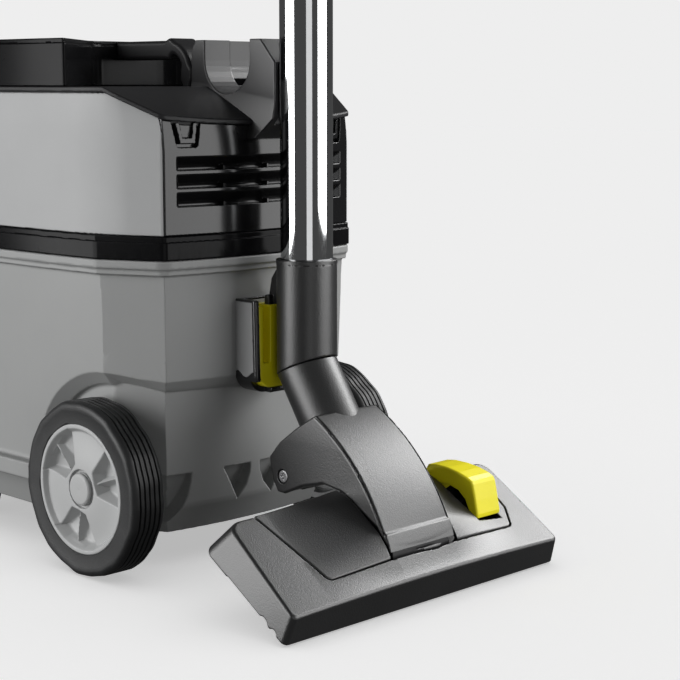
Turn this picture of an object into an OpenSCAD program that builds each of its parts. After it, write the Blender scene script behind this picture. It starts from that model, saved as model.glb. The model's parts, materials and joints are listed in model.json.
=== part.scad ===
// Dry canister vacuum cleaner with its suction tube and switchable floor nozzle
// parked on the rear bracket. Millimetres. +X is the machine's left side, +Y its rear,
// +Z up, and Z = 0 is the floor. The rear wheel axle lies at Y = axle_y.

/* [Body] */
// Half width of the body at the bumper band
body_half_w = 110.5; // [108:0.5:112]
// Half length of the body at the bumper band
body_half_l = 167.4; // [166:0.2:169]
// Y of the rear wheel axle
axle_y = 38.2; // [37:0.1:40]
// Distance from the axle forward to the middle of the body
body_back = 110; // [108:1:112]
// Wall thickness of the moulded shells
wall = 3; // [2.5:0.1:3.5]
// Height of the underside of the bumper band
band_z = 213; // [211:0.5:215]
// Height of the bumper band
band_h = 16; // [14:0.5:17]
// Height of the flat top deck
deck_z = 325; // [322:0.5:326]
// Height of the raised front tray
tray_h = 32; // [28:0.5:32]

/* [Running gear] */
// Radius of a rear wheel
wheel_r = 60; // [59:0.5:61]
// Width of a rear wheel
wheel_w = 27; // [25:0.5:28]
// Distance from the middle plane to a rear wheel's outer face
wheel_out = 123; // [122:0.5:124]
// Radius of a castor wheel
castor_r = 20; // [18:0.5:20]

/* [Suction tube] */
// Outer radius of the lower tube
tube_r = 17.5; // [17.5:0.1:17.6]
// Distance from the axle back to the tube's centre line
tube_back = 92; // [91.5:0.1:92.5]
// Height of the upper tube's top end when it is pushed in
upper_tube_z1 = 735; // [720:5:740]

/* [Floor nozzle] */
// Width of the nozzle head
head_w = 256; // [250:1:262]
// Depth of the nozzle head, front to rear
head_d = 85; // [84:0.5:86]
// Angle of the parked head above the floor
head_tilt = 32.5; // [32:0.1:33]
// Distance from the axle back to the head's lower front edge
head_back = 203; // [202:0.5:204]

/* [Hidden] */
$fn = 72;
eps = 0.01;
body_y = axle_y - body_back;
tube_y = axle_y + tube_back;
band_top = band_z + band_h;
lip_z = band_z - 6;
wall_z = 64;
floor_z = 25;
front_floor_z = 52;
wall_inset = 6;
low_inset = 26;
corner_x = 86;
corner_y = 158;
side_y = 112;
side_rise = 3.5;
arch_r = 76;
arch_x = 92;
fender_z = 135;
axle_r = 4;
run = 0.05;
trail = 14;
castor_x = 68;
castor_y = body_y - 104;
castor_axle_r = 2.5;
stem_r = 5;
slope_start = axle_y + 8;
slope = 0.45;
deck_t = 3.5;
panel_half = 84;
swivel_z = 140;
swivel_tilt = 23.5;
neck_tilt = 33;
neck_len = 41.2;
sleeve_r = 20.5;
pivot_a = 45;
pivot_n = 8;
barrel_r = 27;
yoke_half = 31;
cheek = 3.2;
pin_r = 3;
pedal_x = -67;
pedal_half = 12;
pedal_skew = 11;
pedal_a = 76;
pedal_n = 17;
pedal_pin_r = 2;
slot_r = 29.5;
insert_a0 = 18;
insert_a1 = 83.5;
button_back = 200;
motor_back = 50;
head_clear = 0.4;
lower_tube_z0 = 172;
lower_tube_z1 = 650;
upper_tube_r = 16.2;
upper_tube_z0 = 222;

// ---- Outlines ----

function arc(cx, cy, r, a0, a1, n) =
  [for (i = [0:n]) let (a = a0 + (a1 - a0) * i / n) [cx + r * cos(a), cy + r * sin(a)]];

crown_h = body_half_l - corner_y;
crown_r = (corner_x * corner_x + crown_h * crown_h) / (2 * crown_h);
side_r = (side_y * side_y + side_rise * side_rise) / (2 * side_rise);
crown_arc = arc(0, body_half_l - crown_r, crown_r, 90, 90 - asin(corner_x / crown_r), 6);
side_arc = arc(body_half_w - side_r, 0, side_r, asin(side_y / side_r), 0, 4);
quarter = concat(crown_arc, side_arc);
last = len(quarter) - 1;
body_ring = concat(
  quarter,
  [for (i = [last - 1:-1:0]) [quarter[i].x, -quarter[i].y]],
  [for (i = [1:last]) [-quarter[i].x, -quarter[i].y]],
  [for (i = [last - 1:-1:1]) [-quarter[i].x, quarter[i].y]]
);

// Share of the full width and length that is left at an inset
function kx(inset) = 1 - inset / body_half_w;
function ky(inset) = 1 - inset / body_half_l;
function outline(inset) = [for (p = body_ring) [p.x * kx(inset), p.y * ky(inset)]];

module slab(z0, z1, inset)
  translate([0, body_y, z0]) linear_extrude(z1 - z0) polygon(outline(inset));

module ring(z0, z1, inset, thick)
  difference() {
    slab(z0, z1, inset);
    slab(z0 - 1, z1 + 1, inset + thick);
  }

// Extrudes an outline drawn in the Y-Z plane across X
module across(half)
  rotate([90, 0, 90]) translate([0, 0, -half]) linear_extrude(2 * half) children();

module rod_x(r, x0, x1) translate([x0, 0, 0]) rotate([0, 90, 0]) cylinder(r = r, h = x1 - x0);

module box(x0, x1, y0, y1, z0, z1) translate([x0, y0, z0]) cube([x1 - x0, y1 - y0, z1 - z0]);

// ---- Container ----

module taper_slab(z0, z1, inset_low, inset_high) hull() {
  slab(z0, z0 + eps, inset_low);
  slab(z1 - eps, z1, inset_high);
}

module wheel_arches(grow)
  for (s = [-1, 1]) {
    x0 = s > 0 ? arch_x - grow : -arch_x + grow - 40;
    translate([0, axle_y, wheel_r]) rod_x(arch_r + grow, x0, x0 + 40);
    box(x0, x0 + 40, axle_y, axle_y + 90, -10, fender_z + grow);
  }

module tub(t)
  difference() {
    union() {
      slab(lip_z, band_z + (t > 0 ? 1 : 0), t > 0 ? wall_inset + t : 0);
      slab(wall_z, lip_z + eps, wall_inset + t);
      taper_slab(floor_z + t, wall_z + eps, low_inset + t, wall_inset + t);
      if (t == 0) intersection() {
        slab(front_floor_z, wall_z, 1);
        box(-130, 130, -300, axle_y - 50, 0, 100);
      }
    }
    wheel_arches(t);
    box(-130, 130, -300, axle_y - 165 + t, -10, front_floor_z + t);
  }

module above_floor(z1) intersection() {
  children();
  box(-130, 130, -300, 200, front_floor_z, z1);
}

module container()
  color("darkgray") difference() {
    union() {
      above_floor(300) difference() {
        tub(0);
        tub(wall);
      }
      above_floor(front_floor_z + wall) tub(0);
      for (s = [-1, 1]) {
        translate([0, axle_y, wheel_r]) rod_x(8, s > 0 ? 68 : -arch_x + 1, s > 0 ? arch_x - 1 : -68);
        translate([s * castor_x, castor_y, front_floor_z]) cylinder(r = 10, h = 20);
      }
    }
    for (s = [-1, 1]) {
      translate([0, axle_y, wheel_r]) rod_x(axle_r, s > 0 ? 70 : -arch_x - 5, s > 0 ? arch_x + 5 : -70);
      translate([s * castor_x, castor_y, front_floor_z - 5]) cylinder(r = stem_r + run, h = 22);
    }
    translate([0, body_y - body_half_l - 5, 150]) rotate([-90, 0, 0]) cylinder(r = 24, h = 30);
  }

// Lower rear housing under the container
module undercarriage() color("dimgray") difference() {
  taper_slab(floor_z, front_floor_z, low_inset, 12.2);
  intersection() {
    slab(floor_z + wall, front_floor_z + 1, low_inset + wall);
    box(-80, 80, axle_y - 161, 200, 0, 100);
  }
  box(-130, 130, -300, axle_y - 164, 0, 100);
  for (s = [-1, 1]) translate([s * 107, 0, 0]) box(-23, 23, axle_y - 82, 200, 0, 100);
}

module inlet_socket()
  color("dimgray") translate([0, body_y - body_half_l + wall_inset - 9, 150]) rotate([-90, 0, 0])
    difference() {
      union() {
        cylinder(r = 24, h = 30);
        translate([0, 0, 5]) cylinder(r = 32, h = 3.9);
      }
      translate([0, 0, -1]) cylinder(r = 19, h = 32);
    }

module container_seal() color("black") ring(band_z, band_z + 3, wall_inset, wall);

// ---- Motor head ----

module bumper_band() color("black") ring(band_z, band_top, 0, wall_inset);

module head_floor()
  color("dimgray") difference() {
    slab(band_z + 3, band_z + 7, wall_inset);
    translate([0, axle_y - motor_back, band_z]) cylinder(r = 52, h = 20);
  }

// Everything below the underside of the deck, which slopes down at the rear
module under_deck(drop = deck_t)
  across(130) polygon([
    [body_y - 190, 200], [body_y - 190, deck_z - drop], [slope_start, deck_z - drop],
    [slope_start + 70, deck_z - drop - 70 * slope], [slope_start + 70, 200]
  ]);

module upper_ring() intersection() {
  ring(band_top, deck_z, 1.5, wall);
  under_deck();
}

module side_panel_left() color("silver") intersection() {
  upper_ring();
  box(panel_half, 130, -300, 200, 200, 340);
}

module side_panel_right() color("silver") intersection() {
  upper_ring();
  box(-130, -panel_half, -300, 200, 200, 340);
}

louvre_z = [275.5, 263.7, 252];

module rear_panel() color("black") difference() {
  intersection() {
    upper_ring();
    box(-panel_half, panel_half, body_y, 200, 200, 340);
  }
  for (z = louvre_z, i = [-2:1])
    box(i * 37.5 + 1, i * 37.5 + 36.5, axle_y, 200, z - 3.5, z + 3.5);
  for (s = [-1, 1]) translate([s * 65, 0, 0]) {
    box(-9, 9, axle_y, 200, 285.5, 288);
    for (t = [-1, 1]) box(t * 8 - 1, t * 8 + 1, axle_y, 200, 285.5, 296);
  }
  translate([-34, axle_y, 239]) rotate([-90, 0, 0]) cylinder(r = 7, h = 60);
}

module front_panel() color("black") intersection() {
  upper_ring();
  box(-panel_half, panel_half, -300, body_y, 200, 340);
}

module deck() color("#2b2b2c") difference() {
  intersection() {
    slab(280, deck_z + 5, 0.5);
    difference() {
      under_deck(0);
      under_deck();
    }
  }
  translate([0, axle_y - button_back, 300]) cylinder(r = 30, h = 40);
}

// Plan of the raised tray: the rear edge runs in a V around the handle
module tray_plan(grow)
  polygon([
    [-140, body_y - 200], [140, body_y - 200], [140, axle_y + 2 - grow],
    [106, axle_y - 27 - grow], [33, axle_y - 92 - grow],
    [-33, axle_y - 92 - grow], [-106, axle_y - 27 - grow], [-140, axle_y + 2 - grow]
  ]);

module tray_solid(z0, z1, inset, grow) intersection() {
  slab(z0, z1, inset);
  linear_extrude(400) tray_plan(grow);
}

module top_tray() color("#1c1c1d") difference() {
  tray_solid(deck_z, deck_z + tray_h, 4, 0);
  tray_solid(deck_z - 1, deck_z + tray_h - 9, 4 + wall, wall + 1);
  tray_solid(deck_z + tray_h - 6, deck_z + tray_h + 1, 4 + wall, wall + 1);
  translate([0, axle_y - button_back, deck_z]) cylinder(r = 26.5, h = 60);
}

module tube_cradle() color("#303031") difference() {
  across(12) translate([axle_y, 0]) polygon(concat(
    [[8, deck_z], [-10, deck_z], [-8, 353], [-5, 356.5], [4.6, 356.5]],
    arc(27.3, 342.7, 22.7, 180, 360, 12),
    [[50, 356.5], [63, 356.5], [75, 341], [75, 304], [62, 291], [57.3, 291],
     [57.3, deck_z - 49.3 * slope]]
  ));
  translate([0, tube_y, 280]) cylinder(r = tube_r + 0.8, h = 90);
}

module carry_handle() color("#2d2d2e") across(12) translate([axle_y, 0]) polygon(concat(
  [[-92, 340], [-92, 356]],
  arc(-34, 336, 21, 90, 0, 6),
  [[-13, deck_z], [-22, deck_z]],
  arc(-34, 332, 11, 0, 90, 5)
));

module power_button() color("gray") translate([0, axle_y - button_back, 0]) difference() {
  union() {
    translate([0, 0, deck_z - 1]) cylinder(r = 26, h = tray_h + 1);
    translate([0, 0, deck_z - 3]) cylinder(r = 29, h = 3);
  }
  translate([0, 0, deck_z - 4]) cylinder(r = 23, h = tray_h + 1);
}

module switch_module() color("dimgray") translate([0, axle_y - button_back, 0]) union() {
  box(-18, 18, -14, 14, band_top + 12, deck_z - 12);
  translate([0, 0, deck_z - 12]) cylinder(r = 5, h = 36);
}

module cable_gland() color("#222222") translate([-34, axle_y + 44, 239]) rotate([-90, 0, 0])
  difference() {
    union() {
      cylinder(r = 7, h = 14);
      translate([0, 0, 11.6]) cylinder(r = 9.5, h = 2.4);
      cylinder(r = 9.5, h = 4);
    }
    translate([0, 0, -1]) cylinder(r = 3.6, h = 20);
  }

module motor() color("#7a6a50") translate([0, axle_y - motor_back, 0]) union() {
  translate([0, 0, 242]) cylinder(r = 56, h = 44);
  translate([0, 0, 286]) cylinder(r = 34, h = 24);
  translate([0, 0, 310]) cylinder(r = 6, h = 6);
}

module fan_housing() color("#999999") translate([0, axle_y - motor_back, 0]) difference() {
  union() {
    translate([0, 0, band_z + 7]) cylinder(r = 64, h = 22);
    translate([0, 0, band_z + 3]) cylinder(r = 52, h = 4);
  }
  translate([0, 0, band_z + 2]) cylinder(r = 30, h = 24);
}

module filter_basket() color("#3a3a3a") translate([0, axle_y - motor_back, 0]) difference() {
  union() {
    translate([0, 0, 118]) cylinder(r = 50, h = 98);
    translate([0, 0, 206]) cylinder(r = 58, h = 10);
  }
  translate([0, 0, 121]) cylinder(r = 47, h = 100);
  for (i = [0:7]) rotate([0, 0, i * 45]) box(30, 60, -12, 12, 130, 198);
}

module filter_bag() color("#d8d4c8") translate([0, body_y - 70, 76])
  linear_extrude(120) polygon(concat(
    arc(55, 45, 20, 90, 0, 4), arc(55, -45, 20, 0, -90, 4),
    arc(-55, -45, 20, 270, 180, 4), arc(-55, 45, 20, 180, 90, 4)
  ));

module exhaust_filter() color("#e4e4de")
  box(-74, 74, axle_y + 28, axle_y + 42, band_top + 4, 288);

module front_latch() color("#2a2a2a") translate([0, body_y - body_half_l, 0]) difference() {
  union() {
    box(-20, 20, -6, -2, 193, band_top + 2);
    translate([0, -4.5, 193]) rod_x(4, -20, 20);
    box(-16, 16, -6, 1.2, band_top + 2, band_top + 5);
    box(-12, 12, -9, -6, 206, 210);
  }
  translate([0, -4.5, 193]) rod_x(1.5 + run, -21, 21);
  box(-8, 8, -9, 0, 188, 198);
}

module latch_pin() color("silver") translate([0, body_y - body_half_l, 0]) union() {
  translate([0, -4.5, 193]) rod_x(1.5, -19.5, 19.5);
  difference() {
    box(-7.6, 7.6, -7, wall_inset, 190, 196);
    translate([0, -4.5, 193]) rod_x(1.5, -10, 10);
  }
}

// ---- Park bracket ----

bracket_half = 26.7;
bracket_z0 = 120;
bracket_z1 = 184;

module bracket_plan(half, y0, y1, z0, z1, r)
  translate([0, y1, 0]) rotate([90, 0, 0]) linear_extrude(y1 - y0) polygon(concat(
    [[-half, z1]], arc(-half + r, z0 + r, r, 180, 270, 5), arc(half - r, z0 + r, r, 270, 360, 5),
    [[half, z1]]
  ));

module park_bracket() color("#1f1f20") difference() {
  translate([0, axle_y, 0]) difference() {
    bracket_plan(bracket_half, 48, 70, bracket_z0, bracket_z1, 12);
    translate([0, 0, 3]) bracket_plan(bracket_half - 3, 54, 71, bracket_z0, bracket_z1 + 5, 9);
  }
  slab(bracket_z0 - 5, bracket_z1 + 5, wall_inset);
}

module park_insert() color("#e6dc1e") translate([0, axle_y, 0]) difference() {
  translate([0, 0, 3]) bracket_plan(bracket_half - 3, 54, 70.5, bracket_z0, bracket_z1 - 7, 9);
  box(-10, 10, 57, 66.6, 134, 190);
  box(-5.4, 5.4, 57, 75, 134, 190);
  translate([0, tube_back, 100]) cylinder(r = sleeve_r + 1.2, h = 90);
  for (s = [-1, 1]) box(s * 18 - 5, s * 18 + 5, 57, 75, 140, 190);
}

// ---- Running gear ----

module at_wheel(side) translate([side * (wheel_out - wheel_w / 2), axle_y, wheel_r]) rotate([0, side * 90, 0])
  children();

module rear_axles() color("silver") translate([0, axle_y, wheel_r])
  for (s = [-1, 1]) rod_x(axle_r, s > 0 ? 70 : -wheel_out + 4, s > 0 ? wheel_out - 4 : -70);

tyre_in = 44;

module tyre() rotate_extrude() difference() {
  polygon([
    [tyre_in, -wheel_w / 2], [wheel_r - 4, -wheel_w / 2], [wheel_r - 1, -wheel_w / 2 + 1.5],
    [wheel_r, -wheel_w / 2 + 4], [wheel_r, wheel_w / 2 - 4], [wheel_r - 1, wheel_w / 2 - 1.5],
    [wheel_r - 4, wheel_w / 2], [tyre_in, wheel_w / 2]
  ]);
  for (i = [-2:2]) translate([wheel_r - 1, i * 4 - 0.5]) square([2, 1]);
}

module hub() difference() {
  union() {
    translate([0, 0, -wheel_w / 2 + 1]) cylinder(r = tyre_in, h = wheel_w - 2);
    translate([0, 0, -wheel_w / 2]) cylinder(r = 12, h = wheel_w - 3);
  }
  for (z = [-wheel_w, 3]) translate([0, 0, z])
    difference() {
      cylinder(r = tyre_in - 5, h = wheel_w - 4);
      translate([0, 0, -1]) cylinder(r = 12, h = wheel_w);
    }
  translate([0, 0, wheel_w / 2 - 3]) cylinder(r = 12, h = 5);
  for (i = [0:2]) rotate([0, 0, i * 120]) translate([26, 0, -20]) cylinder(r = 9, h = 40);
  translate([0, 0, -20]) cylinder(r = axle_r + run, h = 40);
}

module hub_cap() difference() {
  translate([0, 0, wheel_w / 2 - 3]) cylinder(r = 12, h = 3);
  translate([0, 0, wheel_w / 2 - 4]) cylinder(r = 8, h = 2);
}

module tyre_left() color("#1b1b1b") at_wheel(1) tyre();
module tyre_right() color("#1b1b1b") at_wheel(-1) tyre();
module hub_left() color("#b5b5b5") at_wheel(1) hub();
module hub_right() color("#b5b5b5") at_wheel(-1) hub();
module hub_cap_left() color("#b0b0b0") at_wheel(1) hub_cap();
module hub_cap_right() color("#b0b0b0") at_wheel(-1) hub_cap();

module at_castor(side) translate([side * castor_x, castor_y, 0]) children();

module castor_fork() difference() {
  union() {
    translate([0, 0, 46]) cylinder(r = 15, h = 5.5);
    translate([0, 0, 51]) cylinder(r = stem_r, h = 17);
    for (s = [-1, 1]) translate([s * 10.5 - 1.5, 0, 0]) {
      box(0, 3, trail - 7, trail + 7, castor_r, 46);
      box(0, 3, -8, trail + 7, 38, 47);
      translate([0, trail, castor_r]) rod_x(7, 0, 3);
    }
  }
  translate([0, trail, castor_r]) rod_x(castor_axle_r, -14, 14);
}

module castor_axle() translate([0, trail, castor_r]) rod_x(castor_axle_r, -12.5, 12.5);

module castor_wheel() translate([-8, trail, castor_r]) rotate([0, 90, 0]) difference() {
  union() {
    translate([0, 0, 1.5]) cylinder(r = castor_r, h = 13);
    cylinder(r = 8, h = 16);
  }
  translate([0, 0, -1]) cylinder(r = castor_axle_r + run, h = 18);
}

module castor_fork_left() color("#2a2a2a") at_castor(1) castor_fork();
module castor_fork_right() color("#2a2a2a") at_castor(-1) castor_fork();
module castor_axle_left() color("silver") at_castor(1) castor_axle();
module castor_axle_right() color("silver") at_castor(-1) castor_axle();
module castor_wheel_left() color("#555555") at_castor(1) castor_wheel();
module castor_wheel_right() color("#555555") at_castor(-1) castor_wheel();

// ---- Suction tube ----

module pipe(r, t, z0, z1) translate([0, tube_y, z0]) difference() {
  cylinder(r = r, h = z1 - z0);
  translate([0, 0, -1]) cylinder(r = r - t, h = z1 - z0 + 2);
}

module lower_tube() color("#d8dadc") difference() {
  pipe(tube_r, 1, lower_tube_z0, lower_tube_z1);
  box(-2.5, 2.5, tube_y + 5, tube_y + 25, 600, 612);
}

module upper_tube() color("#cfd2d4") pipe(upper_tube_r, 1, upper_tube_z0, upper_tube_z1);

module lock_sleeve() color("#242424") difference() {
  pipe(22, 22 - tube_r, 585, 665);
  box(-8, 8, tube_y + 17, tube_y + 30, 592, 622);
}

module lock_button() color("#1e1e1e") union() {
  box(-7.5, 7.5, tube_y + 19.6, tube_y + 25, 592.5, 621.5);
  box(-2, 2, tube_y + 17.9, tube_y + 20, 604, 609);
}

// The flat on which the neck turns against the sleeve, tilted about X
module swivel_frame() translate([0, tube_y, swivel_z]) rotate([swivel_tilt, 0, 0]) children();

module wand_sleeve() color("#2b2b2c") difference() {
  pipe(sleeve_r, sleeve_r - tube_r, 110, 212);
  swivel_frame() translate([-40, -40, -79.8]) cube([80, 80, 80]);
}

module park_hook() color("#262627") translate([0, tube_y, 0]) difference() {
  union() {
    box(-4.5, 4.5, 64.2 - tube_back, -16, 136, 186);
    box(-9, 9, 59 - tube_back, 64.2 - tube_back, 134.5, 186);
    across(4.5) polygon([
      [59 - tube_back, 186], [62 - tube_back, 198], [-19, 206], [-16, 206], [-16, 186]
    ]);
  }
  translate([0, 0, 120]) cylinder(r = sleeve_r, h = 100);
}

// ---- Floor nozzle: neck and yoke ----

module at_neck() translate([0, tube_y, swivel_z]) rotate([neck_tilt, 0, 0]) children();

// Its spigot reaches up into the sleeve and turns there
module neck() color("#2a2a2b") {
  difference() {
    at_neck() difference() {
      translate([0, 0, -neck_len - 14]) cylinder(r = sleeve_r, h = neck_len + 30);
      translate([0, 0, -neck_len - 15]) cylinder(r = sleeve_r - 3, h = neck_len + 40);
    }
    swivel_frame() translate([-40, -40, -0.2]) cube([80, 80, 80]);
  }
  swivel_frame() difference() {
    union() {
      translate([0, 0, -3.2]) cylinder(r = 19, h = 3);
      translate([0, 0, -3.2]) cylinder(r = 13.5, h = 10);
    }
    translate([0, 0, -5]) cylinder(r = 11.5, h = 14);
  }
}

// Places a shape in the nozzle head's frame: Y forward, Z up from the sole
module at_head() translate([0, axle_y + head_back, 0]) rotate([-head_tilt, 0, 0]) children();

// Pivot between yoke and head, in Y-Z from the axle
pivot_y = head_back - pivot_a * cos(head_tilt) + pivot_n * sin(head_tilt);
pivot_z = pivot_a * sin(head_tilt) + pivot_n * cos(head_tilt);

module at_pivot() translate([0, axle_y + pivot_y, pivot_z]) children();

roller_y = 99.7;
roller_z = 70;
roller_r = 9.6;
roller_axle_r = 2.5;
module at_roller() translate([0, axle_y + roller_y, roller_z]) children();
top_arc = arc(60, -14, 146, 62, 24, 8);

module yoke_outline() translate([axle_y, 0]) polygon(concat(
  [[88, 84], [86, 80], [93, 58], [100, 57], [127, 71.5], [147, 71.5], [158, 66]],
  arc(pivot_y, pivot_z, barrel_r - 1, 100, 24, 8),
  [for (i = [8:-1:0]) top_arc[i]]
));

module yoke_core() translate([axle_y, 0]) polygon(concat(
  [[100, 84], [104, 68], [127, 76], [146, 76], [156, 70]],
  arc(pivot_y, pivot_z, barrel_r - 2, 110, 30, 6),
  [[181, 62.5], [168, 79], [149, 97], [129, 110]]
));

module yoke() color("#2b2b2c") difference() {
  union() {
    difference() {
      across(yoke_half) yoke_outline();
      across(yoke_half - cheek) yoke_core();
      at_pivot() rod_x(barrel_r + 0.6, -yoke_half + cheek, yoke_half - cheek);
    }
    for (s = [-1, 1]) translate([s * (yoke_half - cheek / 2), 0, 0]) across(cheek / 2)
      translate([axle_y, 0]) polygon(concat(
        arc(pivot_y, pivot_z, 4.6, 191.3, 371.3, 8), arc(pivot_y - 6, pivot_z + 30, 9, 11.3, 191.3, 8)
      ));
  }
  at_pivot() rod_x(pin_r, -40, 40);
  at_neck() translate([0, 0, -neck_len - 14.2]) cylinder(r = sleeve_r, h = 80);
  at_roller() {
    rod_x(roller_axle_r, -40, 40);
    for (x0 = [-32, 27.4]) rod_x(4.5, x0, x0 + 4.6);
    rod_x(5.2, -27.4, 27.4);
    for (x0 = [-27.4, 13.6]) {
      rod_x(roller_r + 0.6, x0, x0 + 13.8);
      translate([0, -5, -9]) rod_x(12, x0, x0 + 13.8);
    }
  }
  yoke_shell(0.05);
}

// Curved top shell of the yoke
module yoke_shell(grow) across(yoke_half - 1.4 + grow) translate([axle_y, 0]) polygon(concat(
  arc(60, -14, 146.2, 57, 29, 6), arc(60, -14, 143.6 - grow, 29, 57, 6)
));

module yoke_cover() color("#2f2f30") yoke_shell(0);

module yoke_screws() color("#8a8a8a") at_roller()
  for (x0 = [-30, 28.2]) rod_x(4.3, x0, x0 + 1.8);

module roller_axle() color("silver") at_roller() rod_x(roller_axle_r, -28.2, 28.2);

// Two small wheels joined by a thin hub, so that they turn as one
module rear_rollers() color("#3a3a3a") at_roller() difference() {
  union() {
    for (x0 = [-26.6, 14.6]) rod_x(roller_r, x0, x0 + 12);
    rod_x(4.6, -26.6, 26.6);
  }
  rod_x(roller_axle_r + run, -30, 30);
}

module pivot_pin() color("silver") at_pivot() rod_x(pin_r, -yoke_half, yoke_half);

// ---- Floor nozzle: head ----

// A wedge-shaped solid: lower and upper rectangles at given depths from the front edge
module wedge(half_low, half_top, a0, a1, n0, top_a0, top_a1, n_front, n_rear)
  hull() polyhedron(
    points = [
      [-half_low, -a0, n0], [half_low, -a0, n0], [half_low, -a1, n0], [-half_low, -a1, n0],
      [-half_top, -top_a0, n_front], [half_top, -top_a0, n_front],
      [half_top - 4, -top_a1, n_rear], [-half_top + 4, -top_a1, n_rear]
    ],
    faces = [[0, 1, 2, 3], [4, 5, 1, 0], [5, 6, 2, 1], [6, 7, 3, 2], [7, 4, 0, 3], [7, 6, 5, 4]]
  );

module head_wedge(n0)
  wedge(head_w / 2, head_w / 2 - 4, 0, head_d, n0, 4, head_d - 6, 19.5, 24.5);

module head_pivot() translate([0, -pivot_a, pivot_n]) children();

module at_pedal() translate([pedal_x, -pedal_a, pedal_n]) children();

// The pedal is skewed outwards towards the front
module pedal_plan(grow) translate([pedal_x, 0, -5]) linear_extrude(70) polygon([
  [pedal_half + grow, -84 - grow], [-pedal_half - grow, -84 - grow],
  [-pedal_half - pedal_skew - grow, -34 + grow], [pedal_half - pedal_skew + grow, -34 + grow]
]);

// Plan of the insert, a little wider at the rear and on the pedal's side
module insert_plan(inset, n0, n1) translate([0, 0, n0]) linear_extrude(n1 - n0) polygon([
  [-95 + inset, -insert_a0 - inset], [-104 + inset, -insert_a1 + inset],
  [103 - inset, -insert_a1 + inset], [86 - inset, -insert_a0 - inset]
]);

module nozzle_cover() color("#2c2c2d") at_head() difference() {
  head_wedge(0.3);
  wedge(head_w / 2 - 3, head_w / 2 - 7, 3, head_d - 3, -1, 6.5, head_d - 8.5, 17, 22);
  insert_plan(0, 10, 30);
  head_pivot() rod_x(slot_r, -31.4, 31.4);
}

// Hump beside and in front of the barrel, with a well for the pedal
module nozzle_insert() color("#2f2f30") at_head() difference() {
  union() {
    intersection() {
      translate([0, 0, 1]) head_wedge(2);
      insert_plan(0.4, 15, 26);
    }
    for (s = [-1, 1]) intersection() {
      translate([s * 35 - 3.4, 0, 0]) head_pivot() rod_x(23, 0, 6.8);
      box(-40, 40, -80, -10, 16, 40);
    }
    across(34) polygon([[-18.4, 19], [-18.4, 24.2], [-23.5, 28.6], [-30, 28.6], [-30, 19]]);
  }
  intersection() {
    translate([0, 0, -2]) head_wedge(2);
    box(-130, 130, -90, 10, -5, 26);
  }
  head_pivot() rod_x(slot_r, -31.4, 31.4);
  box(-31.4, 31.4, -90, -40, 0, 50);
  pedal_plan(1.2);
}

module nozzle_base() color("#232324") at_head() difference() {
  union() {
    box(-head_w / 2 + 5, head_w / 2 - 5, -head_d + 5, -5, 3, 6);
    intersection() {
      head_pivot() rod_x(barrel_r, -yoke_half + cheek + head_clear, yoke_half - cheek - head_clear);
      box(-40, 40, -90, 0, 3, 60);
    }
    for (s = [-1, 1]) translate([pedal_x - 1 + s * 15.5 - 1.5, 0, 0])
      box(0, 3, -pedal_a - 3.8, -pedal_a + 3.2, 5, 19.5);
  }
  head_pivot() {
    rod_x(pin_r + run, -40, 40);
    rod_x(22, -23, 23);
  }
  translate([0, -pivot_a, pivot_n]) rotate([50, 0, 0]) cylinder(r = 15, h = 60);
  box(-24, 24, -56, -34, 0, 8);
  for (s = [-1, 1]) translate([s * 29.5, 0, 0]) box(-2.1, 2.1, -51, -39, 2, 8);
  for (a = brush_a) box(-118, 118, -a - 3.4, -a + 3.2, 0, 13.5);
  at_pedal() rod_x(pedal_pin_r, -20, 20);
}

module sole_plate() color("#c4c6c8") at_head() difference() {
  box(-head_w / 2 + 5, head_w / 2 - 5, -head_d + 5, -5, 1.5, 3);
  box(-110, 110, -50, -38, 0, 5);
  for (a = brush_a) box(-118, 118, -a - 4, -a + 4, 0, 8);
}

module pedal() color("#e6dc1e") at_head() difference() {
  intersection() {
    translate([pedal_x, 0, 0]) across(40) polygon([
      [-82, 19], [-82, 34], [-72, 41], [-57, 44.5], [-49, 42], [-38, 31], [-35, 24],
      [-39, 22.5], [-55, 33], [-70, 28], [-74, 13], [-78, 13]
    ]);
    pedal_plan(0);
  }
  at_pedal() rod_x(pedal_pin_r + run, -30, 30);
}

module pedal_pin() color("silver") at_head() at_pedal() rod_x(pedal_pin_r, -18, 16);

brush_a = [9.5, 69.5];

module brush_carrier() color("#1d1d1d") at_head() union() {
  for (a = brush_a) box(-117, 117, -a - 2.6, -a + 2.6, 4, 9);
  for (x = [-42, 60]) box(x - 4, x + 4, -brush_a[1], -brush_a[0], 7, 9);
}

module brush_strips() color("#111111") at_head()
  for (a = brush_a) box(-116, 116, -a - 1.5, -a + 1.5, -1.2, 4);

// ---- Output ----

container();
undercarriage();
inlet_socket();
container_seal();
bumper_band();
head_floor();
side_panel_left();
side_panel_right();
rear_panel();
front_panel();
deck();
top_tray();
tube_cradle();
carry_handle();
power_button();
switch_module();
cable_gland();
motor();
fan_housing();
filter_basket();
filter_bag();
exhaust_filter();
front_latch();
latch_pin();
park_bracket();
park_insert();
rear_axles();
tyre_left();
tyre_right();
hub_left();
hub_right();
hub_cap_left();
hub_cap_right();
castor_fork_left();
castor_fork_right();
castor_axle_left();
castor_axle_right();
castor_wheel_left();
castor_wheel_right();
lower_tube();
upper_tube();
lock_sleeve();
lock_button();
wand_sleeve();
park_hook();
neck();
yoke();
yoke_cover();
yoke_screws();
roller_axle();
rear_rollers();
pivot_pin();
nozzle_base();
nozzle_cover();
nozzle_insert();
sole_plate();
pedal();
pedal_pin();
brush_carrier();
brush_strips();
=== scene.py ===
"""Looks of a canister vacuum cleaner whose suction tube and floor nozzle are parked on its rear.

Moulded pieces are made from distance functions: a function gives the distance of a point
to the piece's surface, in millimetres, negative inside. Lengths here are millimetres from
the rear axle: x to the machine's left, y to its rear, z up from the floor.
"""
import json
import math

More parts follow.
